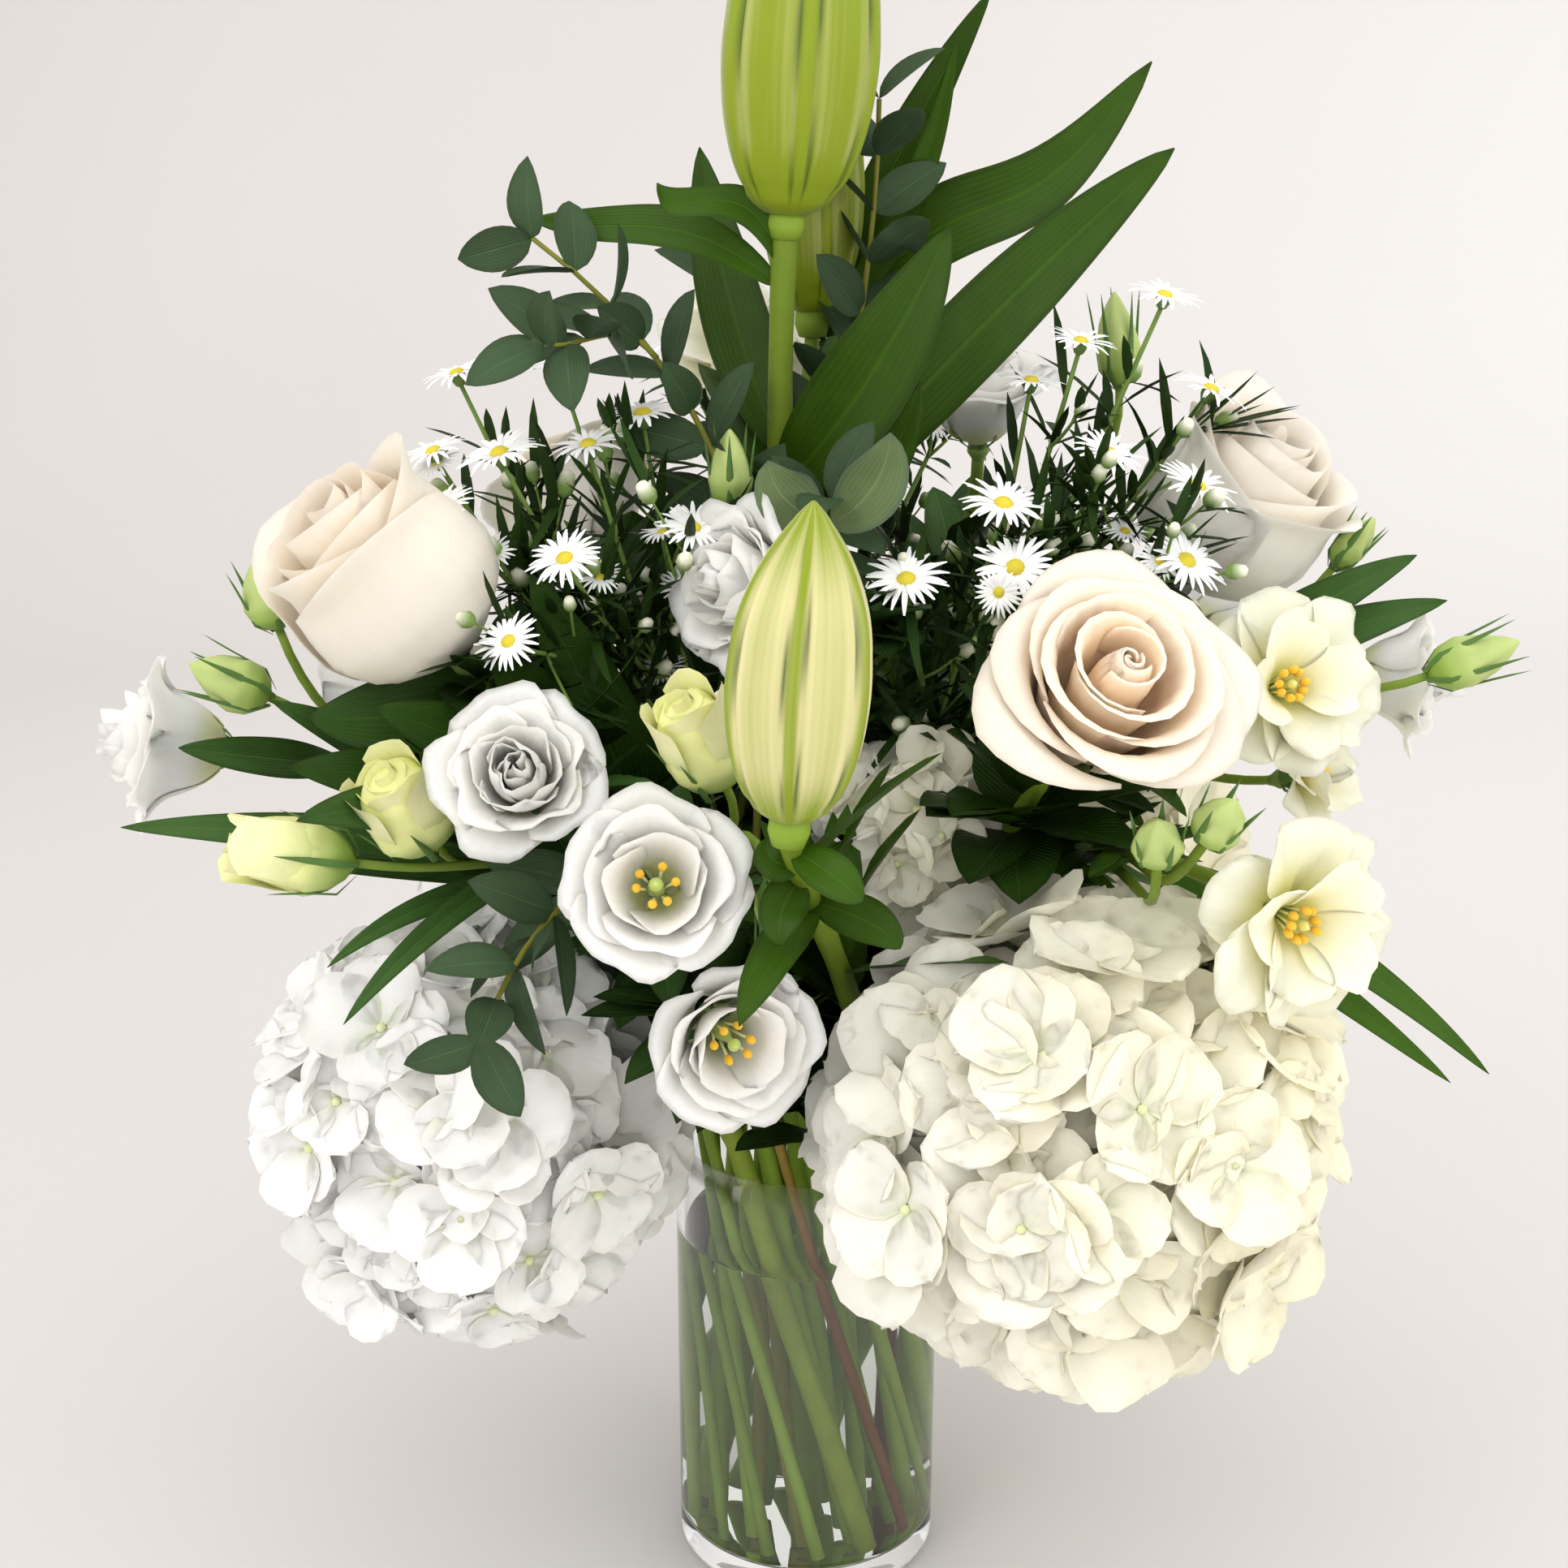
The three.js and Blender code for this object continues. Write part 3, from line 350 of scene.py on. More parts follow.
def paint_on(tree, shader, shade):
    """Base Color: the piece's own paint scaled by a shade."""
    paint = node(tree, "ShaderNodeAttribute", {"attribute_name": "paint"})
    toned = node(tree, "ShaderNodeVectorMath", {"operation": "SCALE"}, Vector=paint, Scale=shade)
    feed(tree, toned, shader.inputs["Base Color"])


def raise_on(tree, shader, height, strength, distance):
    """Normal: a bump of a height, with its distance in metres."""
    bump = node(tree, "ShaderNodeBump", Strength=strength, Distance=distance, Height=height)
    feed(tree, bump, shader.inputs["Normal"])


def petal_material(name, roughness, glow, ribs):
    """Petal skin: the painted colour with faint ribs from the claw to the rim, softly lit through."""
    material, tree, shader = new_material(
        name, Roughness=roughness, Subsurface_Weight=glow, Subsurface_Scale=0.004,
        Specular_IOR_Level=0.25, Sheen_Weight=0.1, Sheen_Roughness=0.4,
    )
    shader.inputs["Subsurface Radius"].default_value = (1.0, 0.92, 0.84)
    surface = node(tree, "ShaderNodeAttribute", {"attribute_name": "surface"}, output=1)
    stretch = {0: surface, 1: (2.0, 11.0, 7.0)}
    stretched = node(tree, "ShaderNodeVectorMath", {"operation": "MULTIPLY"}, numbered=stretch)
    rib = node(tree, "ShaderNodeTexNoise", Vector=stretched, Scale=1.0, Detail=3.0)
    paint_on(tree, shader, 1.03 - rib * 0.08)
    raise_on(tree, shader, rib, ribs, 0.0006)
    return material


# The hydrangea heads: balls of 140 to 175 papery florets, or about 40 on the small one, each with four
# round petals about a pale green bead, on short green stalks that branch from the end of the thick
# stem. A head's base is CORE of its radius behind its centre. The left head is 5 % smaller than its solid.
CORE, LEFT_SHRINK = 0.66, 0.95
GOLDEN = math.pi * (3 - math.sqrt(5))
blooms = {
    "hydrangea_left": ("hydrangea", (-120, -64, 213), (-0.84, -0.48, -0.25), (74, 82, 74), 0),
    "hydrangea_right": ("hydrangea", (88, -118, 232), (0.5, -0.82, -0.25), (88, 78, 76), 0),
    "hydrangea_middle": ("hydrangea", (36, -44, 314), (0.25, -0.6, 0.75), (31, 31, 31), 0),
    "hydrangea_rear_left": ("hydrangea", (-88, 112, 222), (-0.6, 0.76, -0.25), (72, 72, 72), 0),
    "hydrangea_rear_right": ("hydrangea", (112, 82, 228), (0.8, 0.57, -0.25), (72, 72, 72), 0),
    "rose_front": ("rose", (89, -130, 388), (0.22, -0.70, 0.68), 41, 34),
    "rose_left": ("rose_bud", (-141, -62, 410), (-0.6, -0.3, 0.74), 38, 40),
    "rose_right": ("rose_bud", (152, 10, 420), (0.45, -0.4, 0.8), 37, 38),
    "rose_rear_left": ("rose", (-95, 118, 400), (-0.45, 0.6, 0.66), 38, 34),
    "rose_rear_right": ("rose", (75, 140, 352), (0.3, 0.9, 0.3), 39, 34),
    "lisianthus_far_left": ("lisianthus", (-230, -6, 334), (-0.96, -0.2, 0.15), 27, 21),
    "lisianthus_mid": ("lisianthus", (-93, -112, 356), (0, -0.85, 0.5), 24, 21),
    "lisianthus_centre": ("lisianthus", (-48, -150, 333), (0.05, -0.9, 0.42), 27, 21),
    "lisianthus_low": ("lisianthus", (-26, -144, 279), (0.3, -0.95, 0.1), 26, 21),
    "lisianthus_behind": ("lisianthus", (-21, -72, 408), (-0.75, -0.6, 0.3), 25, 21),
    "lisianthus_top": ("lisianthus", (63, 52, 452), (-0.05, -0.25, 0.97), 26, 21),
    "lisianthus_right": ("lisianthus", (212, -18, 362), (0.9, -0.2, -0.05), 22, 21),
    "lisianthus_rear_left": ("lisianthus", (-170, 90, 330), (-0.8, 0.58, 0.15), 27, 21),
    "lisianthus_rear_right": ("lisianthus", (168, 100, 350), (0.78, 0.6, 0.15), 27, 21),
    "cream_upper": ("cream", (160, -74, 376), (0.35, -0.85, 0.38), 31, 20),
    "cream_lower": ("cream", (152, -146, 318), (0.4, -0.88, 0), 33, 20),
    "cream_middle": ("cream", (182, -38, 334), (0.75, -0.5, 0.3), 24, 18),
    "cream_top": ("cream", (-26, 62, 471), (0, -0.75, 0.65), 28, 20),
    "lily_bud_top": ("lily", (-4, -20, 580), (0.07, 0, 1), (25, 114), 57),
    "lily_bud_second": ("lily", (0, 20, 538), (-0.02, 0, 1), (17, 100), 52),
    "lily_bud_front": ("lily", (-4, -171, 408), (0.07, 0, 1), (20.5, 94), 46),
}


def bloom_place(name):
    """Axes and base point of a bloom: its centre less its depth along the way it faces."""
    kind, at, facing, size, back = blooms[name]
    depth = size[2] * CORE if kind == "hydrangea" else back
    axes = flower_axes(facing)
    return axes, np.asarray(at, float) - axes[:, 2] * depth


def half_round(rows, columns):
    """The two parameters of a sheet: u from root to tip as (1, U, 1) and v across as (1, 1, V)."""
    return np.linspace(0, 1, rows)[None, :, None], np.linspace(-1, 1, columns)[None, None, :]


def surface_of(u, v, luck):
    """Surface coordinates of sheets: u, v and each sheet's own draw (N)."""
    shape = (len(luck), u.shape[1], v.shape[2])
    return np.stack([np.broadcast_to(u, shape), np.broadcast_to(v, shape),
                     np.broadcast_to(luck[:, None, None], shape)], -1)


def hydrangea_head(name, florets, tint, warm):
    """Florets at Fibonacci places on an ellipsoid: four petals x = L u, y = w(u) v, lifted at the rim."""
    axes, base = bloom_place(name)
    size = np.array(blooms[name][3], float) * (LEFT_SHRINK if name == "hydrangea_left" else 1)
    rng = np.random.default_rng(len(name) * 7 + florets)
    k = np.arange(florets) + 0.5
    height = 1 - 2 * k / florets
    ring = np.sqrt(1 - height ** 2)
    out = np.stack([ring * np.cos(k * GOLDEN), ring * np.sin(k * GOLDEN), height], -1)
    out = unit(out + 0.10 * rng.normal(size=out.shape))
    out = out[out[:, 2] > -0.93]
    n = len(out)
    centre = np.array([0, 0, size[2] * CORE])
    depth = 0.95 - 0.24 * rng.random(n) ** 1.1
    at = out * size * depth[:, None] + centre
    reach = np.maximum(size.mean() / 78 * 25 * (0.80 + 0.36 * rng.random(n)), 16)
    toward = np.array([0, -0.85, 0.5]) @ axes * 0.35
    tilt = flower_axes(unit(out + toward + 0.6 * (rng.random((n, 3)) - 0.5)))
    spin = rng.random(n) * np.pi
    u, v = half_round(8, 5)
    petal = np.arange(4)
    turn = (spin[:, None] + petal * np.pi / 2 + 0.16 * rng.normal(size=(n, 4))).reshape(-1)
    length = (reach[:, None] * (0.92 + 0.16 * rng.random((n, 4)))).reshape(-1)
    lift = (0.02 + 0.30 * rng.random((n, 1)) + 0.22 * rng.random((n, 4))).reshape(-1)
    cup = (0.05 + 0.30 * rng.random((n, 4))).reshape(-1)
    phase = rng.random(4 * n) * 6.28
    col = lambda a: a[:, None, None]
    width = 0.57 * np.sin(np.pi * np.clip(0.05 + 0.95 * u ** 1.15, 0, 0.985)) ** 0.8
    u = 0.5 - 0.5 * np.cos(np.pi * u)
    x = col(length) * (0.05 + 0.95 * u) * (1 - 0.05 * v ** 2)
    y = col(length) * width * v * (1 + 0.04 * np.sin(9 * u + col(phase)))
    z = col(length) * (
        col(lift) * u ** 1.6 + col(cup) * v ** 2 * width - 0.10 * u ** 4
        + 0.045 * u * np.sin(3.4 * v + 5 * u + col(phase)) + 0.03 * (np.arange(4 * n) % 2)[:, None, None] * u
    )
    c, s = np.cos(col(turn)), np.sin(col(turn))
    local = np.stack([x * c - y * s, x * s + y * c, z], -1)
    four = np.repeat(np.arange(n), 4)
    local = moved(local, tilt[four], at[four])
    points = local @ axes.T + base
    luck = rng.random(4 * n)
    green = step(0.28, 0.02, u)
    side = np.clip((points[..., 0] - base[0]) / (2 * size[0]) + 0.5, 0, 1)
    skin = mix(mix(tint, warm, side * 0.9), (0.74, 0.80, 0.50), np.broadcast_to(green * 0.55, side.shape))
    skin = skin * (0.965 + 0.035 * luck[:, None, None, None])
    piece = Piece()
    piece.sheets(points, 0.55, skin, surface_of(u, v, luck))
    bead = turned([[0.1, -1.2], [1.5, -0.6], [1.8, 0.4], [1.1, 1.5], [0.1, 1.8]], 6)
    bead = moved(np.repeat(bead, n, 0), tilt, at + 0.4 * tilt[:, :, 2]) @ axes.T + base
    piece.rings(bead, (0.70, 0.76, 0.42), PLAIN)
    stalk = np.stack([centre + 0.2 * (at - centre), 0.6 * at + 0.4 * centre, at], 1)
    piece.rings(tubes(stalk, 0.9, 4) @ axes.T + base, (0.40, 0.50, 0.20), PLAIN)
    t = np.linspace(0.02, np.pi - 0.02, 12)
    heart = turned(np.stack([np.sin(t), -np.cos(t)], -1), 20) * size * 0.70 + centre
    piece.rings(heart @ axes.T + base, (0.80, 0.79, 0.62), PLAIN)
    piece.finish(name + "_florets", hydrangea_skin, "hydrangea_petals", name)


hydrangea_skin = petal_material("hydrangea_petal", 0.62, 0.45, 0.2)
cool_white, ivory, butter = (0.965, 0.958, 0.93), (0.96, 0.935, 0.83), (0.95, 0.90, 0.64)
hydrangea_head("hydrangea_left", 172, cool_white, (0.965, 0.945, 0.88))
hydrangea_head("hydrangea_right", 178, (0.96, 0.935, 0.86), butter)
hydrangea_head("hydrangea_middle", 40, ivory, butter)
hydrangea_head("hydrangea_rear_left", 150, cool_white, ivory)
hydrangea_head("hydrangea_rear_right", 150, ivory, butter)


# The roses: broad thick petals in a spiral, rolled tight at the heart and turned back at the rim.
# All are cream with a peach heart, which is strongest in the front one. It and the two at the back
# are open, and the other two are half open.
def spiral_petals(turn, half, radius, height, v):
    """Points radius * (cos a, sin a) at a height, with a = turn + half * v."""
    around, radius, height = np.broadcast_arrays(turn[:, None, None] + half * v, radius, height)
    return np.stack([radius * np.cos(around), radius * np.sin(around), height], -1)


def rose_head(name, petals, shape, outer, heart, seed):
    """Petal k of n at turn 2.4 k: its rim goes from the axis to the full radius as the share k / n grows.

    Each petal is shorter toward its sides, which rounds its corners, and its rim bends outward.
    """
    axes, base = bloom_place(name)
    size = blooms[name][3]
    rng = np.random.default_rng(seed)
    u, v = half_round(17, 13)
    share = (np.arange(petals) / (petals - 1))[:, None, None]
    phase = (rng.random(petals) * 6.28)[:, None, None]
    luck = rng.random(petals)
    turn = GOLDEN * np.arange(petals) + seed + 0.32 * rng.normal(size=petals)
    side = np.abs(v)
    grown = u * (1 - (0.10 + 0.14 * share) * side ** (2.4 - 0.8 * share))
    curl = np.clip((grown - 0.66) / 0.34, 0, 1) ** 1.7
    point = (1 - side) ** 1.4
    if shape == "open":
        rim = np.interp(share, [0, 0.2, 0.27, 0.55, 1], [0.09, 0.22, 0.36, 0.66, 0.94])
        rim = rim * (1 + 0.10 * (luck[:, None, None] - 0.5))
        top = np.interp(share, [0, 0.2, 0.3, 0.6, 1], [1.42, 1.40, 1.38, 1.30, 1.04])
        top = top + 0.03 * np.sin(7 * share)
        shut = np.interp(grown, [0, 0.1, 0.3, 0.6, 1], [0.3, 0.6, 0.95, 0.9, 0.25])
        cup = np.interp(grown, [0, 0.1, 0.3, 0.6, 1], [0.2, 0.40, 0.66, 0.86, 1.0])
        flared = np.interp(grown, [0, 0.1, 0.3, 0.6, 0.85, 1], [0.18, 0.38, 0.64, 0.84, 0.96, 1.06])
        bud, open_share = step(0.27, 0.18, share), step(0.35, 0.75, share)
        out = shut * bud + (1 - bud) * (cup * (1 - open_share) + flared * open_share)
        rise = 0.10 + (top - 0.10) * np.sin(0.5 * np.pi * grown) ** 1.1
        back = 0.02 + 0.18 * share ** 2
        droop = 0.26 * share ** 2
        wide = np.clip(1.0 / rim, 1.0, 2.3)
    else:
        rim = 0.14 + 0.80 * share ** 0.6
        top = 1.94 - 0.08 * share ** 2 + 0.05 * np.sin(9 * share)
        out = np.interp(grown, [0, 0.08, 0.22, 0.42, 0.6, 0.8, 1], [0.28, 0.55, 0.88, 1.02, 1.0, 0.91, 0.9])
        out = out - 0.16 * step(0.6, 1.0, grown) * (1 - share)
        rise = 0.10 + (top - 0.10) * grown
        back = 0.22 * share ** 1.5
        droop = 0.18 * share ** 1.5
        wide = np.clip(1.15 / rim, 1.2, 2.6)
    radius = rim * out + 0.05 * v * (1 - 0.4 * share) + back * curl * (0.8 + 0.6 * point)
    radius = radius + 0.016 * share * u ** 3 * np.sin(3.6 * v + phase)
    height = rise - droop * curl * (0.5 + 0.8 * side ** 1.5) + 0.015 * u ** 4 * np.sin(4 * v + phase)
    half = wide * (0.26 + 0.74 * np.sin(0.5 * np.pi * np.clip(u / 0.5, 0, 1))) * (1 - 0.10 * curl)
    points = spiral_petals(turn, half, radius * size, height * size, v) @ axes.T + base
    deep = np.clip((1.05 - share) * (1.25 - 0.90 * u ** 2), 0, 1)
    skin = mix(outer, heart, np.broadcast_to(deep, points.shape[:3]))
    skin = mix(skin, (0.78, 0.80, 0.50), np.broadcast_to(0.5 * step(0.22, 0.0, u), points.shape[:3]))
    piece = Piece()
    piece.sheets(points, 0.9, skin, surface_of(u, v, luck))
    piece.finish(name + "_petals", rose_skin, "rose_petals", name)


rose_skin = petal_material("rose_petal", 0.5, 0.5, 0.1)
rose_head("rose_front", 18, "open", (0.93, 0.83, 0.70), (1.0, 0.74, 0.48), 3)
rose_head("rose_left", 12, "bud", (0.92, 0.84, 0.72), (0.96, 0.79, 0.60), 5)
rose_head("rose_right", 13, "bud", (0.95, 0.90, 0.80), (0.95, 0.84, 0.68), 8)
rose_head("rose_rear_left", 21, "open", (0.94, 0.88, 0.77), (0.94, 0.80, 0.62), 11)
rose_head("rose_rear_right", 21, "open", (0.94, 0.86, 0.76), (0.95, 0.74, 0.54), 14)


# The lisianthus: whorls of silky white petals with a ruffled rim round a green throat. The open ones
# have three whorls and orange stamens about a green stigma, and the closed ones five, shut at the heart.
def stamens(piece, axes, base, count, ring, low, high, colour, rng):
    """Filaments that lean out from the axis, each with a bead of pollen."""
    around = 2 * np.pi * (np.arange(count) + 0.4 * rng.random(count)) / count
    foot = np.stack([0.35 * ring * np.cos(around), 0.35 * ring * np.sin(around), np.full(count, low)], -1)
    height = high * (0.92 + 0.16 * rng.random(count))
    tip = np.stack([ring * np.cos(around), ring * np.sin(around), height], -1)
    path = np.stack([foot, 0.5 * (foot + tip) + [0, 0, 0.8], tip], 1)
    piece.rings(tubes(path, 0.45, 6) @ axes.T + base, (0.80, 0.78, 0.34), PLAIN)
    bead = turned([[0.05, -2.2], [1.2, -1.3], [1.5, 0.4], [1.0, 2.0], [0.05, 2.5]], 8)
    bead = moved(np.repeat(bead, count, 0), flower_axes(tip - foot), tip)
    piece.rings(bead @ axes.T + base, colour, (0, 0.5, 0.6))


def lisianthus_head(name, closed, throat, seed, ruffle=1.0):
    """Whorls of petals: radius = rim (0.1 + 0.8 u^0.5), height = 0.1 + 1.2 u, the wavy rim turned out.

    Each petal wraps round the next one, so its radius grows across it, and its corners are rounded off.
    """
    axes, base = bloom_place(name)
    size = blooms[name][3]
    rng = np.random.default_rng(seed)
    u, v = half_round(13, 13)
    rims = (1.0, 0.86, 0.68, 0.48, 0.28) if closed else (1.0, 0.82, 0.60)
    counts = (5, 5, 4, 3, 3) if closed else (5, 4, 3)
    whorl = np.repeat(np.arange(len(rims)), counts)
    rim = np.array(rims)[whorl][:, None, None]
    place = np.concatenate([2 * np.pi * np.arange(count) / count for count in counts])
    n = len(whorl)
    phase = (rng.random(n) * 6.28)[:, None, None]
    turn = place + 0.63 * whorl + 0.14 * rng.normal(size=n) + seed
    side = np.abs(v)
    grown = u * (1 - 0.17 * side ** 3)
    inner = 1 - rim
    top = 1.30 + 0.14 * rng.random(n)[:, None, None] + (0.30 * ruffle if closed else 0.05) * inner
    edge = np.clip((grown - 0.55) / 0.45, 0, 1) ** 1.5
    wave = np.sin(4.2 * v + phase) + 0.45 * np.sin(9 * v + 2 * phase)
    shut = 0.80 * inner if closed else 0.06
    radius = rim * (0.10 + 0.80 * grown ** 0.5) * (1 - shut * edge) + 0.06 * v * grown
    radius = radius + (0.05 * ruffle * wave + 0.24 * rim ** 3 * ruffle ** 0.5) * edge
    height = 0.10 + (top - 0.10) * grown ** 1.05 - 0.26 * edge ** 2 * rim ** 3
    height = height + 0.04 * ruffle * edge * np.sin(5 * v + 1.7 * phase)
    wide = np.clip(0.88 / rim, 0.88, 2.0)
    half = wide * (0.22 + 0.78 * np.sin(0.5 * np.pi * np.clip(u / 0.6, 0, 1))) * (1 - 0.08 * edge)
    points = spiral_petals(turn, half, radius * size, height * size, v) @ axes.T + base
    green = step(0.50, 0.12, u) * np.ones_like(radius)
    skin = mix((0.97, 0.95, 0.90), throat, green * 0.85)
    piece = Piece()
    piece.sheets(points, 0.6, skin, surface_of(u, v, rng.random(n)))
    if not closed:
        stamens(piece, axes, base, 6, 0.22 * size, 0.25 * size, 0.92 * size, (0.85, 0.46, 0.04), rng)
        outline = [[0.3, 0.1], [2.6, 0.25], [2.9, 0.45], [1.1, 0.72], [1.0, 0.92], [2.2, 1.0], [0.2, 1.08]]
        pistil = turned(outline, 10) * [1, 1, size]
        piece.rings(pistil @ axes.T + base, (0.45, 0.58, 0.16), PLAIN)
    piece.finish(name + "_petals", lisianthus_skin, "lisianthus_petals", name)


lisianthus_skin = petal_material("lisianthus_petal", 0.5, 0.7, 0.2)
pale_throat, deep_throat = (0.62, 0.64, 0.20), (0.26, 0.31, 0.05)
lisianthus_head("lisianthus_far_left", True, pale_throat, 21, 2.0)
lisianthus_head("lisianthus_mid", True, pale_throat, 22, 1.5)
lisianthus_head("lisianthus_centre", False, pale_throat, 23)
lisianthus_head("lisianthus_low", False, deep_throat, 24)
lisianthus_head("lisianthus_behind", True, pale_throat, 25, 1.4)
lisianthus_head("lisianthus_top", True, pale_throat, 26)
lisianthus_head("lisianthus_right", True, pale_throat, 27, 1.8)
lisianthus_head("lisianthus_rear_left", False, pale_throat, 28)
lisianthus_head("lisianthus_rear_right", True, pale_throat, 29)


# The cream flag flowers: wide open, with crumpled cream petals that turn butter yellow toward a
# green-gold throat full of orange stamens.
def cream_head(name, seed):
    """Two whorls: radius = rim u, height = 0.1 + lift u^0.7, with waves that grow as u squared."""
    axes, base = bloom_place(name)
    size = blooms[name][3]
    rng = np.random.default_rng(seed)
    u, v = half_round(13, 13)
    rim = np.repeat([1.0, 0.74], [6, 4])[:, None, None]
    n = len(rim)
    phase = (rng.random(n) * 6.28)[:, None, None]
    rim = rim * (0.92 + 0.16 * rng.random(n)[:, None, None])
    turn = np.concatenate([2 * np.pi * np.arange(6) / 6, 2 * np.pi * np.arange(4) / 4 + 0.5])
    turn = turn + 0.14 * rng.normal(size=n) + seed
    lift = (0.40 + 0.35 * rng.random(n))[:, None, None]
    side = np.abs(v)
    grown = u * (1 - 0.24 * side ** 2.6)
    wave = np.sin(3.8 * v + phase) + 0.5 * np.sin(8.5 * v + 2.3 * phase)
    radius = rim * (0.05 + 1.0 * grown) + 0.03 * u ** 3 * wave
    height = 0.10 + lift * grown ** 0.7 + np.clip(1 - rim, 0, 1) * 0.8 * u + 0.09 * u ** 2 * wave
    height = height + 0.10 * side ** 2 * u - 0.20 * rim * grown ** 4
    half = 0.84 / np.clip(rim, 0.5, 1) ** 0.5 * np.sin(np.pi * np.clip(0.12 + 0.66 * u, 0, 1)) ** 0.8
    points = spiral_petals(turn, half, radius * size, height * size, v) @ axes.T + base
    yellow = step(0.80, 0.05, u) * np.ones_like(radius)
    skin = mix((0.945, 0.925, 0.70), (0.90, 0.84, 0.30), yellow * 0.9)
    skin = mix(skin, (0.60, 0.64, 0.10), yellow ** 5 * 0.8)
    piece = Piece()
    piece.sheets(points, 0.6, skin, surface_of(u, v, rng.random(n)))
    stamens(piece, axes, base, 9, 0.15 * size, 0.1 * size, 0.55 * size, (0.88, 0.50, 0.05), rng)
    style = turned([[0.2, 0.1], [1.2, 0.15], [1.0, 0.5], [1.8, 0.58], [0.2, 0.66]], 8) * [1, 1, size]
    piece.rings(style @ axes.T + base, (0.72, 0.74, 0.24), PLAIN)
    piece.finish(name + "_petals", cream_skin, "cream_petals", name)


cream_skin = petal_material("cream_petal", 0.5, 0.6, 0.25)
for number, name in enumerate(["cream_upper", "cream_lower", "cream_middle", "cream_top"]):
    cream_head(name, 31 + number)


# The lily buds: fleshy tepals shut to a long six-lobed spindle with a waxy skin, lime green along its
# six ribs, pale cream between them, and with a broken dark seam on each side of a rib.
def lily_bud(name, turn, lime):
    """Rings of radius R p(t) (1 + 0.03 cos 6a + 0.03 cos 3a + 0.03 rib - 0.045 seam), ribs at cos 6a = 1."""
    axes, base = bloom_place(name)
    radius, length = blooms[name][3]
    t = np.linspace(0, 1, 48)
    knots = [0, 0.03, 0.10, 0.26, 0.44, 0.65, 0.80, 0.91, 0.975, 1]
    profile = np.interp(t, knots, [0.30, 0.50, 0.72, 0.93, 1.0, 0.92, 0.68, 0.38, 0.14, 0.03])
    soft = np.convolve(np.pad(profile, 3, mode="edge"), np.ones(7) / 7, "valid")
    profile = np.where((t > 0.06) & (t < 0.94), soft, profile)
    sides = 144
    around = 2 * np.pi * np.arange(sides) / sides
    a = around + turn + 0.10 * np.sin(2.5 * t[:, None] + 0.4)
    wave = np.cos(6 * a)
    rib = step(0.72, 0.97, wave)
    from_rib = np.abs(np.mod(a + np.pi / 6, np.pi / 3) - np.pi / 6)
    seam = np.exp(-((from_rib - 0.135) / 0.035) ** 2)
    fade = step(0.0, 0.10, t) * step(1.0, 0.85, t)
    lobes = 0.03 * np.cos(6 * a) + 0.03 * np.cos(3 * a) + 0.03 * rib - 0.045 * seam
    rings = profile[:, None] * (1 + lobes * fade[:, None]) * radius * 1.05
    points = np.stack([
        rings * np.cos(around), rings * np.sin(around), np.broadcast_to(t[:, None] * length, rings.shape),
    ], -1)[None]
    ends = np.maximum(step(0.22, 0.0, t), step(0.70, 1.0, t))[:, None]
    streak = 0.12 * np.sin(31 * a) * np.sin(17 * a + 3 * t[:, None])
    green = np.clip(lime + 0.85 * rib + 0.7 * ends + 0.25 * step(0.2, -1.0, wave) + streak, 0, 1)
    skin = mix((0.73, 0.675, 0.35), (0.24, 0.315, 0.012), green)
    broken = 0.45 + 0.55 * np.sin(13 * t[:, None] + 5 * np.floor(6 * a / (2 * np.pi)))
    skin = mix(skin, (0.06, 0.11, 0.008), np.clip(seam * broken * fade[:, None], 0, 0.85))
    surface = np.stack([
        np.broadcast_to(t[:, None] * 1.5, rings.shape), 2.2 * np.sin(a), 2.2 * np.cos(a),
    ], -1)
    piece = Piece()
    piece.rings(points @ axes.T + base, skin[None], surface[None])
    piece.finish(name + "_tepals", lily_skin, "lily_bud_tepals", name)


lily_skin = petal_material("lily_bud_skin", 0.38, 0.12, 0.35)
lily_bud("lily_bud_top", 0.30, 0.80)
lily_bud("lily_bud_second", 0.1, 0.7)
lily_bud("lily_bud_front", 0.54, 0.12)


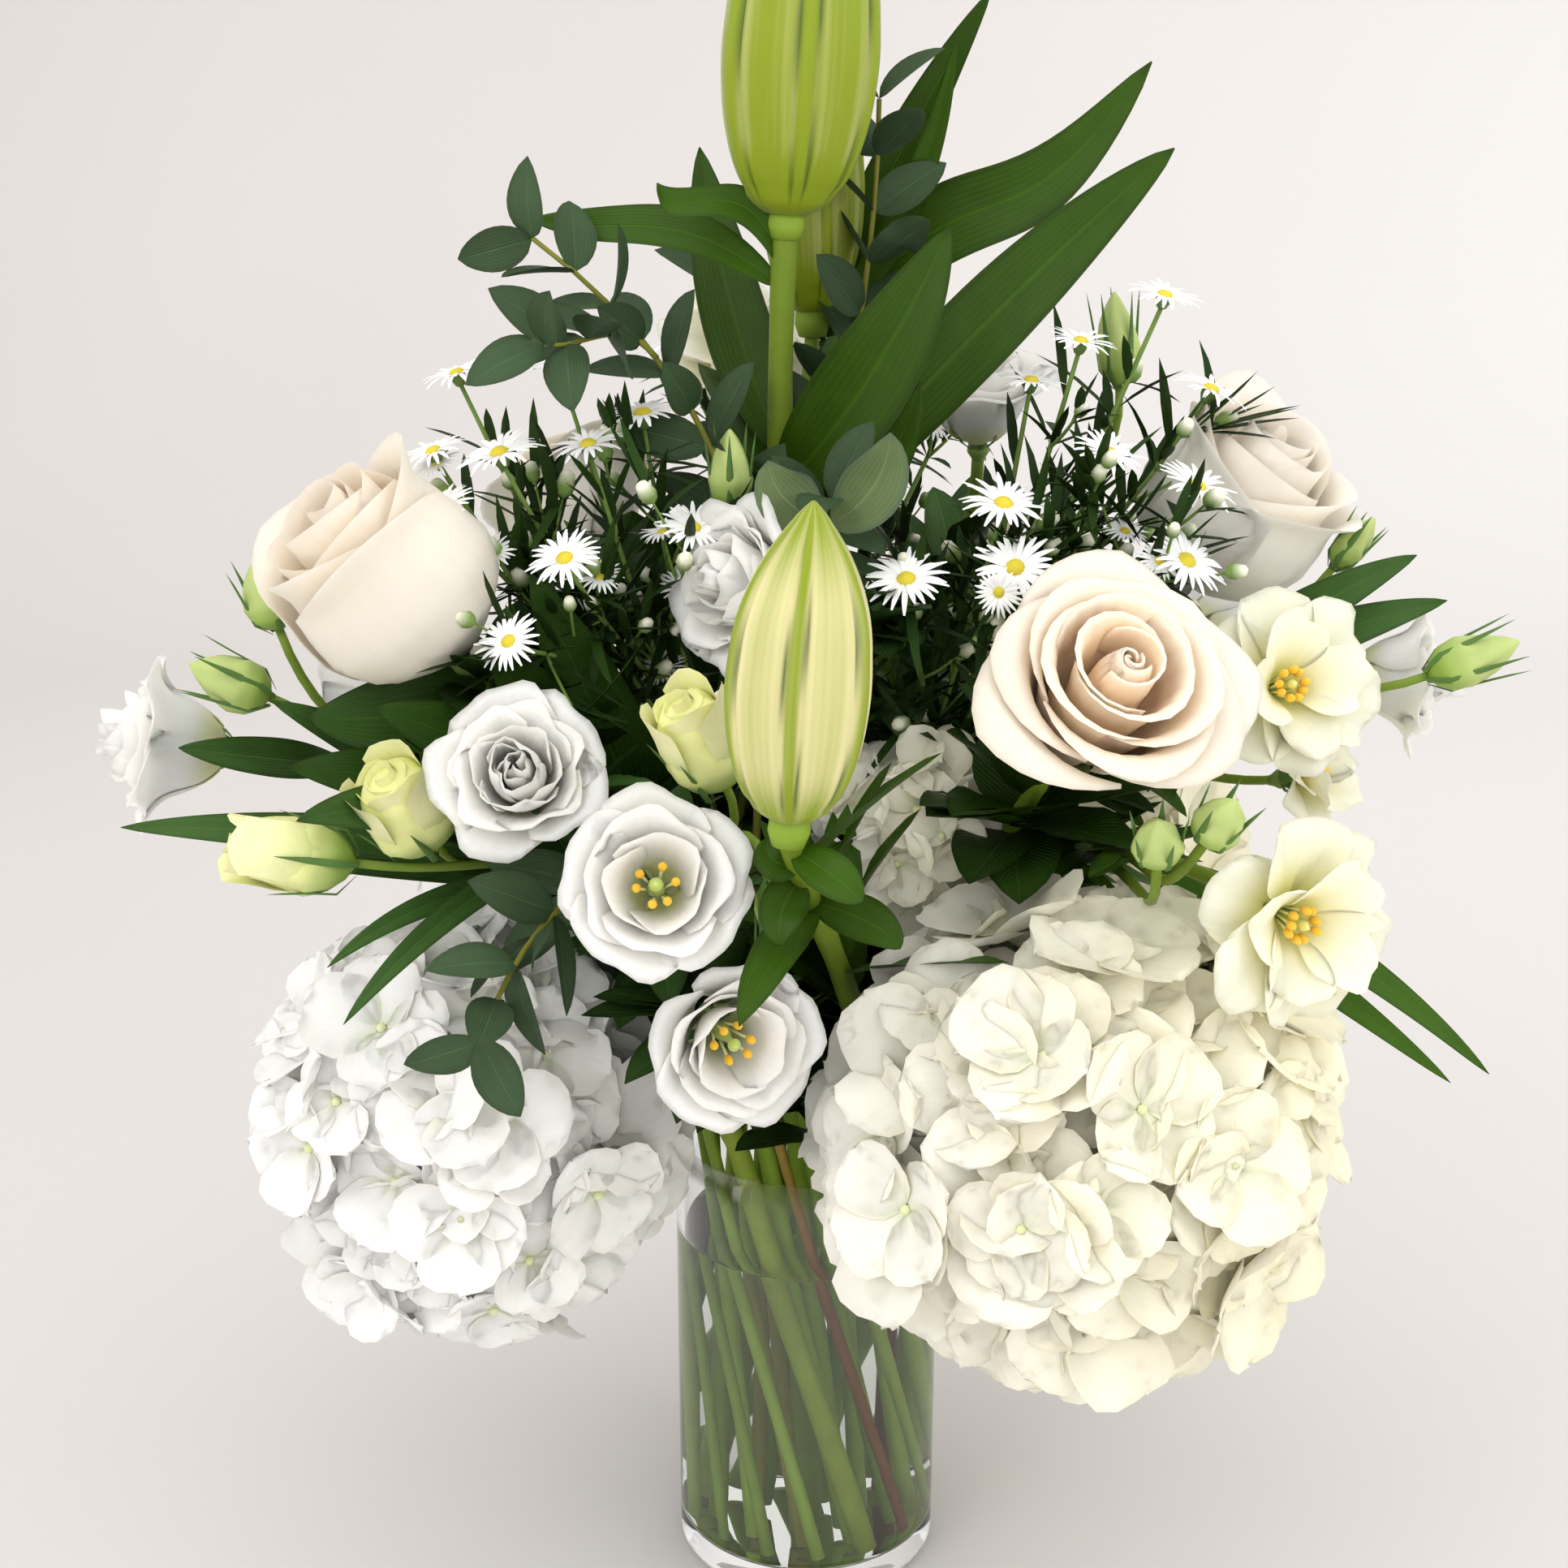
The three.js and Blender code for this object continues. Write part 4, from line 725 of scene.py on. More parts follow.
# The greenery: every stem runs straight from its foot in the water to the mouth of the vase, as in
# a hand-tied spiral, and bends from there to its flower. Leaves, buds and sepals grow on it.
# BEHIND is a place on the second lily bud's stalk, where three of the upper leaves start.
BEHIND = (2, 22, 476)
RINGS = {"outer": (41.5, 14, 0), "middle": (28, 10, 0.3), "inner": (15, 6, 0.15), "centre": (0, 1, 0)}
TWIST = math.radians(70)
FOOT, MOUTH, GAP = 14, 184, 0.3
stems = {
    "stem_hydrangea_left": dict(slot=("outer", 9), radius=4.2, to="hydrangea_left", leaf=(3, 62, 30)),
    "stem_hydrangea_right": dict(slot=("outer", 0), radius=4.4, to="hydrangea_right", leaf=(3, 62, 30)),
    "stem_hydrangea_middle": dict(slot=("outer", 13), radius=3.6, to="hydrangea_middle", leaf=(3, 60, 28)),
    "stem_hydrangea_rear_left": dict(slot=("outer", 5), radius=4, to="hydrangea_rear_left", leaf=(3, 62, 30)),
    "stem_hydrangea_rear_right": dict(
        slot=("middle", 2), radius=3.8, to="hydrangea_rear_right", leaf=(3, 62, 30),
    ),
    "stem_rose_front": dict(slot=("outer", 1), radius=3.2, to="rose_front", leaf=(5, 52, 29)),
    "stem_rose_left": dict(slot=("middle", 6), radius=3.4, to="rose_left", leaf=(5, 52, 29),
        blades=[
            (0.6, (-172, -84, 350), (-4, -8, 10), 24), (0.66, (-140, -96, 374), (0, -10, 6), 24),
            (0.74, (-104, -84, 386), (6, -8, 4), 24), (0.5, (-92, -70, 412), (6, -8, 2), 26),
            (0.56, (-150, -60, 330), (0, -6, 8), 26), (0.92, (-168, -66, 362), (0, -10, -6), 26),
            (0.86, (-132, -92, 362), (0, -8, -6), 22),
        ],
    ),
    "stem_rose_right": dict(slot=("inner", 0), radius=3.4, to="rose_right", reach=0.28, leaf=(5, 52, 29)),
    "stem_rose_rear_left": dict(slot=("inner", 4), radius=3.2, to="rose_rear_left", leaf=(5, 52, 29)),
    "stem_rose_rear_right": dict(slot=("middle", 3), radius=3.2, to="rose_rear_right", leaf=(5, 52, 29)),
    "stem_lily_tall": dict(
        slot=("centre", 0), radius=4.4, to="lily_bud_top", leaf=(3, 80, 16),
        shoots=[dict(to="lily_bud_second", start=0.62)],
        blades=[
            (0.72, (45, -38, 520), (4, -22, -6), 28), (0.66, (36, -40, 470), (16, -8, -10), 15),
            (0.66, (123, 0, 543), (10, -8, 22), 25), (BEHIND, (114, 0, 571), (10, -2, 0), 25, (2, 0, 9)),
            (BEHIND, (48, -6, 578), (14, 4, -14), 10), (BEHIND, (62, 26, 594), (-4, 12, 2), 15),
            (0.95, (-51, -24, 533), (-8, -4, 16), 12, (3, 0, 5)),
            (0.93, (-96, 4, 519), (-8, 4, 18), 14, (0, 0, 3)),
            (0.76, (-40, 70, 540), (-6, 14, -10), 22), (0.7, (40, 95, 520), (6, 18, -12), 24),
        ],
    ),
    "stem_lily_front": dict(slot=("outer", 12), radius=3.8, to="lily_bud_front", reach=0.1, leaf=(6, 70, 15),
        blades=[
            (0.86, (14, -176, 338), (4, -14, 4), 12), (0.74, (-10, -172, 322), (-6, -12, 6), 13),
            (0.66, (26, -164, 318), (8, -12, 6), 13), (0.8, (-14, -160, 352), (-6, -10, -2), 10),
        ],
    ),
    "spray_lisianthus_far_left": dict(
        slot=("middle", 4), radius=2.6, to="lisianthus_far_left", leaf=(5, 48, 18),
        blades=[(0.5, (-162, -124, 345), (-4, -14, 22), 20), (0.84, (-214, -62, 350), (0, -14, 4), 13),
            (0.5, (-182, -60, 366), (0, -8, 6), 17), (0.42, (-176, -72, 312), (0, -10, 12), 18)],
        shoots=[
            dict(bud=(-133, -86, 336), facing=(-0.35, -0.5, 0.8), size=(16, 34), start=0.5),
            dict(bud=(-190, -20, 393), facing=(-0.25, -0.1, 0.95), size=(9, 26), start=0.6),
            dict(bud=(-203, -28, 364), facing=(-0.85, -0.2, 0.45), size=(10, 30), start=0.75),
        ],
    ),
    "spray_lisianthus_mid": dict(
        slot=("outer", 7), radius=2.4, to="lisianthus_mid", leaf=(5, 48, 18),
        blades=[
            (0.62, (-232, -75, 326), (-10, -12, 12), 13), (0.7, (-146, -150, 287), (-6, -16, 16), 8),
            (0.56, (-152, -140, 302), (-10, -10, 22), 8),
        ],
        shoots=[dict(bud=(-169, -94, 323), facing=(-0.93, -0.2, 0.22), size=(13, 38), start=0.5)],
    ),
    "spray_lisianthus_centre": dict(
        slot=("outer", 8), radius=2.4, to="lisianthus_centre", leaf=(5, 48, 18),
        shoots=[
            dict(bud=(-34, -124, 370), facing=(-0.35, -0.4, 0.82), size=(14, 35), start=0.6),
            dict(bud=(-13, -140, 320), facing=(0.1, -0.3, -0.95), size=(5, 20), start=0.6),
        ],
    ),
    "spray_lisianthus_low": dict(slot=("outer", 11), radius=2.4, to="lisianthus_low", leaf=(5, 48, 18)),
    "spray_lisianthus_behind": dict(
        slot=("outer", 3), radius=2.4, to="lisianthus_behind", leaf=(5, 48, 18),
        shoots=[dict(bud=(-27, -42, 441), facing=(0, -0.1, 1), size=(7.5, 28), start=0.7)],
    ),
    "spray_lisianthus_right": dict(
        slot=("middle", 0), radius=2.4, to="lisianthus_right", leaf=(5, 48, 18),
        blades=[(0.72, (209, -28, 409), (6, 0, 10), 15), (0.8, (222, -24, 392), (0, 0, 6), 14)],
        shoots=[
            dict(bud=(225, -50, 378), facing=(0.9, -0.1, 0.4), size=(9, 32), start=0.75),
            dict(bud=(192, -8, 409), facing=(0.6, 0, 0.8), size=(6, 22), start=0.6),
        ],
    ),
    "spray_lisianthus_top": dict(
        slot=("outer", 6), radius=2.4, to="lisianthus_top", leaf=(5, 48, 18),
        shoots=[dict(bud=(112, 40, 474), facing=(-0.1, 0, 1), size=(8, 34), start=0.7)],
    ),
    "spray_lisianthus_rear_left": dict(
        slot=("middle", 8), radius=2.4, to="lisianthus_rear_left", leaf=(5, 48, 18),
    ),
    "spray_lisianthus_rear_right": dict(
        slot=("inner", 5), radius=2.4, to="lisianthus_rear_right", reach=0.5, leaf=(5, 48, 18),
    ),
    "stem_cream_upper": dict(
        slot=("middle", 1), radius=2.6, to="cream_upper", leaf=(5, 42, 11),
        shoots=[dict(to="cream_middle", start=0.6)],
    ),
    "stem_cream_lower": dict(
        slot=("outer", 2), radius=2.6, to="cream_lower", reach=0.55, leaf=(5, 42, 11),
        blades=[(0.84, (231, -92, 243), (6, 0, 12), 10), (0.76, (220, -86, 237), (4, 0, 4), 10)],
        shoots=[
            dict(bud=(104, -151, 348), facing=(-0.1, -0.5, 0.85), size=(8, 18), start=0.6),
            dict(bud=(123, -150, 354), facing=(0.3, -0.5, 0.8), size=(8, 20), start=0.7),
        ],
    ),
    "stem_cream_top": dict(slot=("middle", 9), radius=2.4, to="cream_top", leaf=(5, 42, 11)),
    "spray_aster_left": dict(
        slot=("middle", 7), radius=2, at=(-62, -22, 385), facing=(-0.35, -0.2, 0.9),
        heads=[
            (-120, -20, 470), (-127, -35, 446), (-86, -10, 471), (-57, -25, 457), (-74, -45, 450),
            (-103, -50, 448), (-121, -60, 432), (-80, -75, 418), (-39, -60, 425), (-98, -85, 393),
        ],
    ),
    "spray_aster_right": dict(
        slot=("inner", 1), radius=2, at=(80, -8, 400), facing=(0.35, -0.1, 0.9),
        heads=[
            (119, -20, 496), (63, -60, 433), (98, -50, 448), (129, -45, 436), (31, -70, 410),
            (92, -15, 480), (76, -10, 466), (138, -10, 463), (124, -60, 414), (66, -75, 415),
        ],
    ),
    "spray_aster_rear": dict(
        slot=("outer", 4), radius=2, at=(10, 120, 400), facing=(0.1, 0.5, 0.85),
        heads=[
            (-30, 150, 455), (5, 160, 462), (40, 150, 450), (62, 120, 448), (-52, 120, 462),
            (15, 125, 482), (30, 178, 425),
        ],
    ),
    "eucalyptus_left": dict(
        slot=("outer", 10), radius=1.8, at=(-93, -20, 515), facing=(-0.8, 0, 0.6), reach=0.45,
        pairs=10, start=0.6, side=((-86, -60, 485), 0.86),
    ),
    "eucalyptus_right": dict(
        slot=("middle", 5), radius=1.8, at=(23, 0, 559), facing=(0, 0, 1), reach=0.4,
        pairs=8, start=0.66, side=((6, -66, 436), 0.5),
        broad=[(6, -68, 427), (-14, -74, 450), (25, -74, 459), 21],
    ),
    "eucalyptus_low": dict(
        slot=("inner", 3), radius=1.8, at=(-103, -155, 284), facing=(-0.35, -0.3, -0.9), reach=0.5,
        pairs=7, start=0.66,
    ),
    "eucalyptus_rear": dict(
        slot=("inner", 2), radius=1.8, at=(-45, 150, 500), facing=(-0.4, 0.5, 0.75), reach=0.4,
        pairs=6, start=0.66,
    ),
}


def ring_point(slot, twisted, height):
    """A stem's place in its ring, turned by the twist."""
    radius, places, turn = RINGS[slot[0]]
    around = 2 * math.pi * slot[1] / places + turn + twisted
    return np.array([radius * math.cos(around), radius * math.sin(around), height])


def end_of(target):
    """Where a stem or shoot ends, and the way it points there."""
    if "to" in target:
        axes, base = bloom_place(target["to"])
        return base - GAP * axes[:, 2], axes[:, 2]
    facing = unit(np.array(target["facing"], float))
    if "bud" in target:
        return np.array(target["bud"], float) - facing * target["size"][1] / 2, facing
    return np.array(target["at"], float), facing


def bend_to(start, way, end, facing, reach):
    """The four controls of a bend: it leaves along its way and comes in against the flower's facing."""
    length = np.linalg.norm(end - start)
    return np.array([start, start + way * length * 0.4, end - facing * length * reach, end])


def tangent(bend, t):
    """The unit tangent of a cubic bend at t."""
    return unit(bezier([bend], np.array([t + 0.001]))[0, 0] - bezier([bend], np.array([t - 0.001]))[0, 0])


def chord_point(bend, steps, t):
    """The point at t on the straight runs that the solid's bend is built from."""
    knots = bezier([bend], np.arange(steps + 1) / steps)[0]
    run = min(int(t * steps), steps - 1)
    return knots[run] + (knots[run + 1] - knots[run]) * (t * steps - run)


def ball_radius(kind, size):
    """The radius of the ball about a bloom's centre that leaves keep out of."""
    if kind == "hydrangea":
        return np.mean(size) * 0.98
    return size[0] if kind == "lily" else size * 0.9


bloom_balls = np.array([[*at, ball_radius(kind, size)] for kind, at, _, size, _ in blooms.values()], float)


def in_bloom(points):
    """Which grids (N, ...) have a point inside the ball of a bloom."""
    flat = points.reshape(len(points), -1, 1, 3)
    near = np.linalg.norm(flat - bloom_balls[:, :3], axis=-1) < bloom_balls[:, 3]
    return near.any(axis=(1, 2))


def leaf_grids(roots, tips, bows, widths, side, rows=9, columns=5, belly=0.8, wave=0.0):
    """Leaves on quadratic ribs: half width w/2 sin(pi t^belly)^0.7, edges raised by a quarter of it."""
    roots, tips, bows = (np.asarray(a, float) for a in (roots, tips, bows))
    controls = np.stack([roots, 0.5 * (roots + tips) + bows, tips], 1)
    t = np.linspace(0, 1, rows)
    rib = bezier(controls, t)
    along = unit(np.gradient(rib, axis=1))
    across = np.cross(side, along)
    flat = np.linalg.norm(across, axis=-1, keepdims=True) < 0.3
    across = unit(np.where(flat, np.array([1.0, 0, 0]) - along * along[..., :1], across))
    fold = unit(np.cross(along, across))
    half = 0.5 * np.asarray(widths, float)[:, None] * np.clip(np.sin(np.pi * t ** belly), 0.004, 1) ** 0.7
    v = np.linspace(-1, 1, columns)
    lift = 0.25 * np.abs(v) ** 1.4 + wave * np.sin(14 * t)[:, None] * v ** 2 * np.sign(v)
    return (rib[:, :, None] + across[:, :, None] * (half[..., None] * v)[..., None]
            + fold[:, :, None] * (half[..., None] * lift)[..., None])


def leaf_surface(points, kind, rng):
    """Surface coordinates of leaves: u, v, and the vein kind plus a draw below 0.9."""
    u = np.linspace(0, 1, points.shape[1])[None, :, None]
    v = np.linspace(-1, 1, points.shape[2])[None, None, :]
    return surface_of(u, v, kind + 0.9 * rng.random(len(points)))


def green_material(name, roughness, coat):
    """Leaf and stem skin: a pale midrib, parallel (kind 1) or feather (kind 2) veins, and mottling."""
    material, tree, shader = new_material(
        name, Roughness=roughness, Subsurface_Weight=0.06, Subsurface_Scale=0.001,
        Coat_Weight=coat, Coat_Roughness=0.3, Specular_IOR_Level=0.14,
    )
    surface = node(tree, "ShaderNodeAttribute", {"attribute_name": "surface"}, output=1)
    u, v, luck = (surface.part(axis) for axis in range(3))
    kind = luck.math("FLOOR")
    width = v.math("ABSOLUTE")
    midrib = (width * -14 + 1).math("MAXIMUM", 0) * kind.math("MINIMUM", 1)
    parallel = (v * 42).math("SINE") * (kind.math("COMPARE", 1.0, 0.1))
    feather = ((u * 62 - width * 22).math("SINE") ** 2.0) * (kind.math("COMPARE", 2.0, 0.1))
    place = node(tree, "ShaderNodeTexCoord", output=3)
    mottle = node(tree, "ShaderNodeTexNoise", Vector=place, Scale=90.0, Detail=4.0)
    paint_on(tree, shader, 0.80 + mottle * 0.40 + midrib * 0.5 + parallel * 0.06 - feather * 0.14)
    raise_on(tree, shader, parallel * 0.10 - midrib * 0.8 + feather * 0.4 + mottle * 0.25, 0.5, 0.0007)
    return material


def sepals(piece, axes, base, count, length, width, spread, start, colour, rng):
    """Narrow green sepals round the base of a flower: radius = start + spread u^1.6 at height length u."""
    turn = 2 * np.pi * np.arange(count) / count + rng.random()
    u, v = half_round(6, 5)
    curve = spread * (0.8 + 0.4 * rng.random(count))[:, None, None] * u ** 1.6
    radius = start * np.sin(0.5 * np.pi * np.clip(u * 4 + 0.25, 0, 1)) + curve
    blade = width * np.clip(np.sin(np.pi * np.clip(0.25 + 0.75 * u, 0, 1)), 0.05, 1)
    half = np.minimum(blade / np.maximum(radius, 0.6 * width), 1.2)
    points = spiral_petals(turn, half, radius, length * u - 1.0, v) @ axes.T + base
    piece.sheets(points, 0.6, colour, surface_of(u, v, np.full(count, 0.5)))


def small_bud(piece, target, rng):
    """A small bud on a shoot: twisted petals in a spindle, green at the foot, held by thin sepals."""
    base, facing = end_of(target)
    axes = flower_axes(facing)
    radius, length = target["size"]
    t = np.linspace(0, 1, 16)
    around = 2 * np.pi * np.arange(30) / 30
    opening = radius >= 12
    knots = [0.12, 0.42, 0.8, 1.0, 0.86, 0.74, 0.5] if opening else [0.12, 0.5, 0.9, 1.0, 0.72, 0.38, 0.06]
    profile = np.interp(t, [0, 0.05, 0.2, 0.4, 0.7, 0.88, 1], knots)
    swirl = 1 + 0.07 * np.sin(5 * around + 6 * t[:, None]) * step(0.15, 0.5, t)[:, None]
    rings = radius * profile[:, None] * swirl
    points = np.stack([rings * np.cos(around), rings * np.sin(around),
                       np.broadcast_to(length * t[:, None], rings.shape)], -1)
    tip = (0.76, 0.78, 0.34) if opening else (0.46, 0.56, 0.20)
    skin = mix((0.26, 0.40, 0.07), tip, step(0.05, 0.6, t))[:, None]
    piece.rings(points[None] @ axes.T + base, np.broadcast_to(skin, points.shape)[None], PLAIN)
    if opening:
        u, v = half_round(8, 7)
        n = 9
        rim = np.linspace(0.25, 1.02, n)[:, None, None]
        phase = (rng.random(n) * 6.28)[:, None, None]
        r = rim * np.interp(u, [0, 0.25, 0.5, 0.8, 1], [0.2, 0.85, 1.03, 0.93, 0.98]) + 0.04 * v
        h = 0.06 + (1.02 + 0.06 * np.sin(9 * rim)) * u - 0.12 * np.abs(v) ** 3 * u ** 3
        h = h + 0.02 * u ** 4 * np.sin(5 * v + phase)
        half = np.clip(0.8 / rim, 0.85, 2.2) * np.sin(0.5 * np.pi * np.clip(0.2 + u * 1.4, 0, 1))
        grids = spiral_petals(GOLDEN * np.arange(n), half, radius * r, length * h, v) @ axes.T + base
        petal = mix((0.48, 0.57, 0.12), (0.85, 0.85, 0.48), step(0.0, 0.8, u) * np.ones_like(r * half))
        piece.sheets(grids, 0.5, petal, surface_of(u, v, np.full(n, 0.4)))
    reach = length * (0.75 if opening else 1.05)
    sepals(piece, axes, base, 5, reach, 1.3, radius * 0.25 + 1, radius * 0.85, (0.10, 0.20, 0.05), rng)


# The colours of each kind's stalk and of its leaves.
GREEN = {
    "hydrangea": ((0.31, 0.42, 0.05), (0.055, 0.095, 0.006)),
    "rose": ((0.20, 0.31, 0.03), (0.014, 0.038, 0.004)),
    "lisianthus": ((0.24, 0.36, 0.05), (0.028, 0.066, 0.014)),
    "cream": ((0.24, 0.36, 0.04), (0.030, 0.075, 0.005)),
    "lily": ((0.22, 0.33, 0.03), (0.020, 0.050, 0.002)),
    "aster": ((0.13, 0.22, 0.02), (0.014, 0.038, 0.005)),
    "eucalyptus": ((0.25, 0.25, 0.04), (0.036, 0.066, 0.030)),
}
greenery = green_material("leaf_and_stem", 0.42, 0.0)
aster_green = green_material("aster_growth", 0.55, 0.0)
waxy_green = green_material("eucalyptus_leaf", 0.6, 0.0)
UP, TO_FRONT = np.array([0.0, 0, 1]), np.array([0.1, -0.9, 0.45])
CUP = {"rose": 7, "rose_bud": 8, "lisianthus": 4.5, "cream": 3.8}
# Length, width, spread, starting radius and colour of the sepals under each kind of bloom.
ROSE_SEPALS = (16, 4.2, 13, 7.0, (0.10, 0.19, 0.05))
SEPALS = {
    "rose": ROSE_SEPALS,
    "rose_bud": ROSE_SEPALS,
    "lisianthus": (24, 1.5, 10, 6.5, (0.12, 0.24, 0.07)),
    "cream": (11, 2.4, 5, 4.5, (0.14, 0.27, 0.07)),
}


def cad_points(name):
    """The corners of a CAD node, in millimetres."""
    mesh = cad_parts[name].data
    corners = np.zeros(3 * len(mesh.vertices), np.float32)
    mesh.vertices.foreach_get("co", corners)
    return corners.reshape(-1, 3) * 1000.0


def flower_foot(piece, target, rng):
    """The cup and sepals under a bloom, or the collar under a lily bud."""
    kind = blooms[target["to"]][0]
    axes, base = bloom_place(target["to"])
    if kind in CUP:
        size = CUP[kind]
        cup = turned([[0.3, -1.6 * size], [0.42 * size, -1.5 * size], [0.62 * size, -0.9 * size],
                      [0.95 * size, -0.35 * size], [0.9 * size, 0.1 * size], [0.2, 0.2 * size]], 14)
        piece.rings(cup @ axes.T + base, (0.22, 0.33, 0.09), PLAIN)
        sepals(piece, axes, base, 5, *SEPALS[kind], rng)
    if kind == "lily":
        collar = turned([[0.3, -9], [5.0, -8.4], [6.4, -4], [6.0, 1.0], [0.3, 2.5]], 16)
        piece.rings(collar @ axes.T + base, (0.24, 0.36, 0.04), PLAIN)


def grow_leaves(piece, name, stem, bend, number, colour, rng):
    """The CAD leaves that grew, found by their tips, many more deep among the stems, and the long blades."""
    seed = 400 + 10 * number
    count, length, width = stem["leaf"]
    corners = cad_points(name)
    kind = 2.0 if ("rose" in name or "hydrangea" in name) else 1.0
    roots, tips, bows = [], [], []
    for k in range(count * 12):
        t = 0.12 + 0.76 * (k + 0.5 * draw(seed, k)) / count
        if k >= count:
            t = 0.06 + 0.86 * draw(seed + 5, k)
        root = chord_point(bend, 5, t)
        along = tangent(bend, t)
        turn = k * 2.4 + seed
        out = np.array([math.cos(turn), math.sin(turn), 0.0])
        out = unit(out - along * (out @ along))
        span = length * (0.8 + 0.4 * draw(seed + 1, k))
        tip = root + out * 0.8 * span + along * 0.55 * span
        bow = along * 0.12 * span
        if k < count:
            grew = np.linalg.norm(corners - tip, axis=1).min() < 1.0
        else:
            grid = leaf_grids([root], [tip], [bow], [width * 0.8], UP)
            inner = np.hypot(tip[0], tip[1] * 1.1) < 150 and 195 < tip[2] < 415
            grew = inner and not in_bloom(grid[:, 1:])[0]
        if grew:
            roots.append(bezier([bend], np.array([t]))[0, 0])
            tips.append(tip)
            bows.append(bow)
    if roots:
        wide = width * (0.95 + 0.25 * rng.random(len(roots)))
        grids = leaf_grids(roots, tips, bows, wide, UP, 11, 7, 0.75, 0.05)
        tone = 0.8 + 0.5 * rng.random(len(roots))[:, None, None, None]
        skin = np.asarray(colour) * tone
        piece.sheets(grids, 0.7, skin, leaf_surface(grids, kind, rng), skin * 1.5)
    for t, tip, bow, width, *swing in stem.get("blades", []):
        root = np.array(t, float) if t is BEHIND else bezier([bend], np.array([t]))[0, 0]
        grid = leaf_grids([root], [tip], [bow], [width * 1.12], TO_FRONT, 25, 9, 0.8, 0.04)
        if swing:
            grid = grid + np.sin(2 * np.pi * np.linspace(0, 1, 25))[:, None, None] * np.array(swing[0], float)
        skin = np.asarray(colour) * (0.9 + 0.4 * rng.random())
        piece.sheets(grid, 0.8, skin, leaf_surface(grid, 1.0, rng), skin * 1.5)


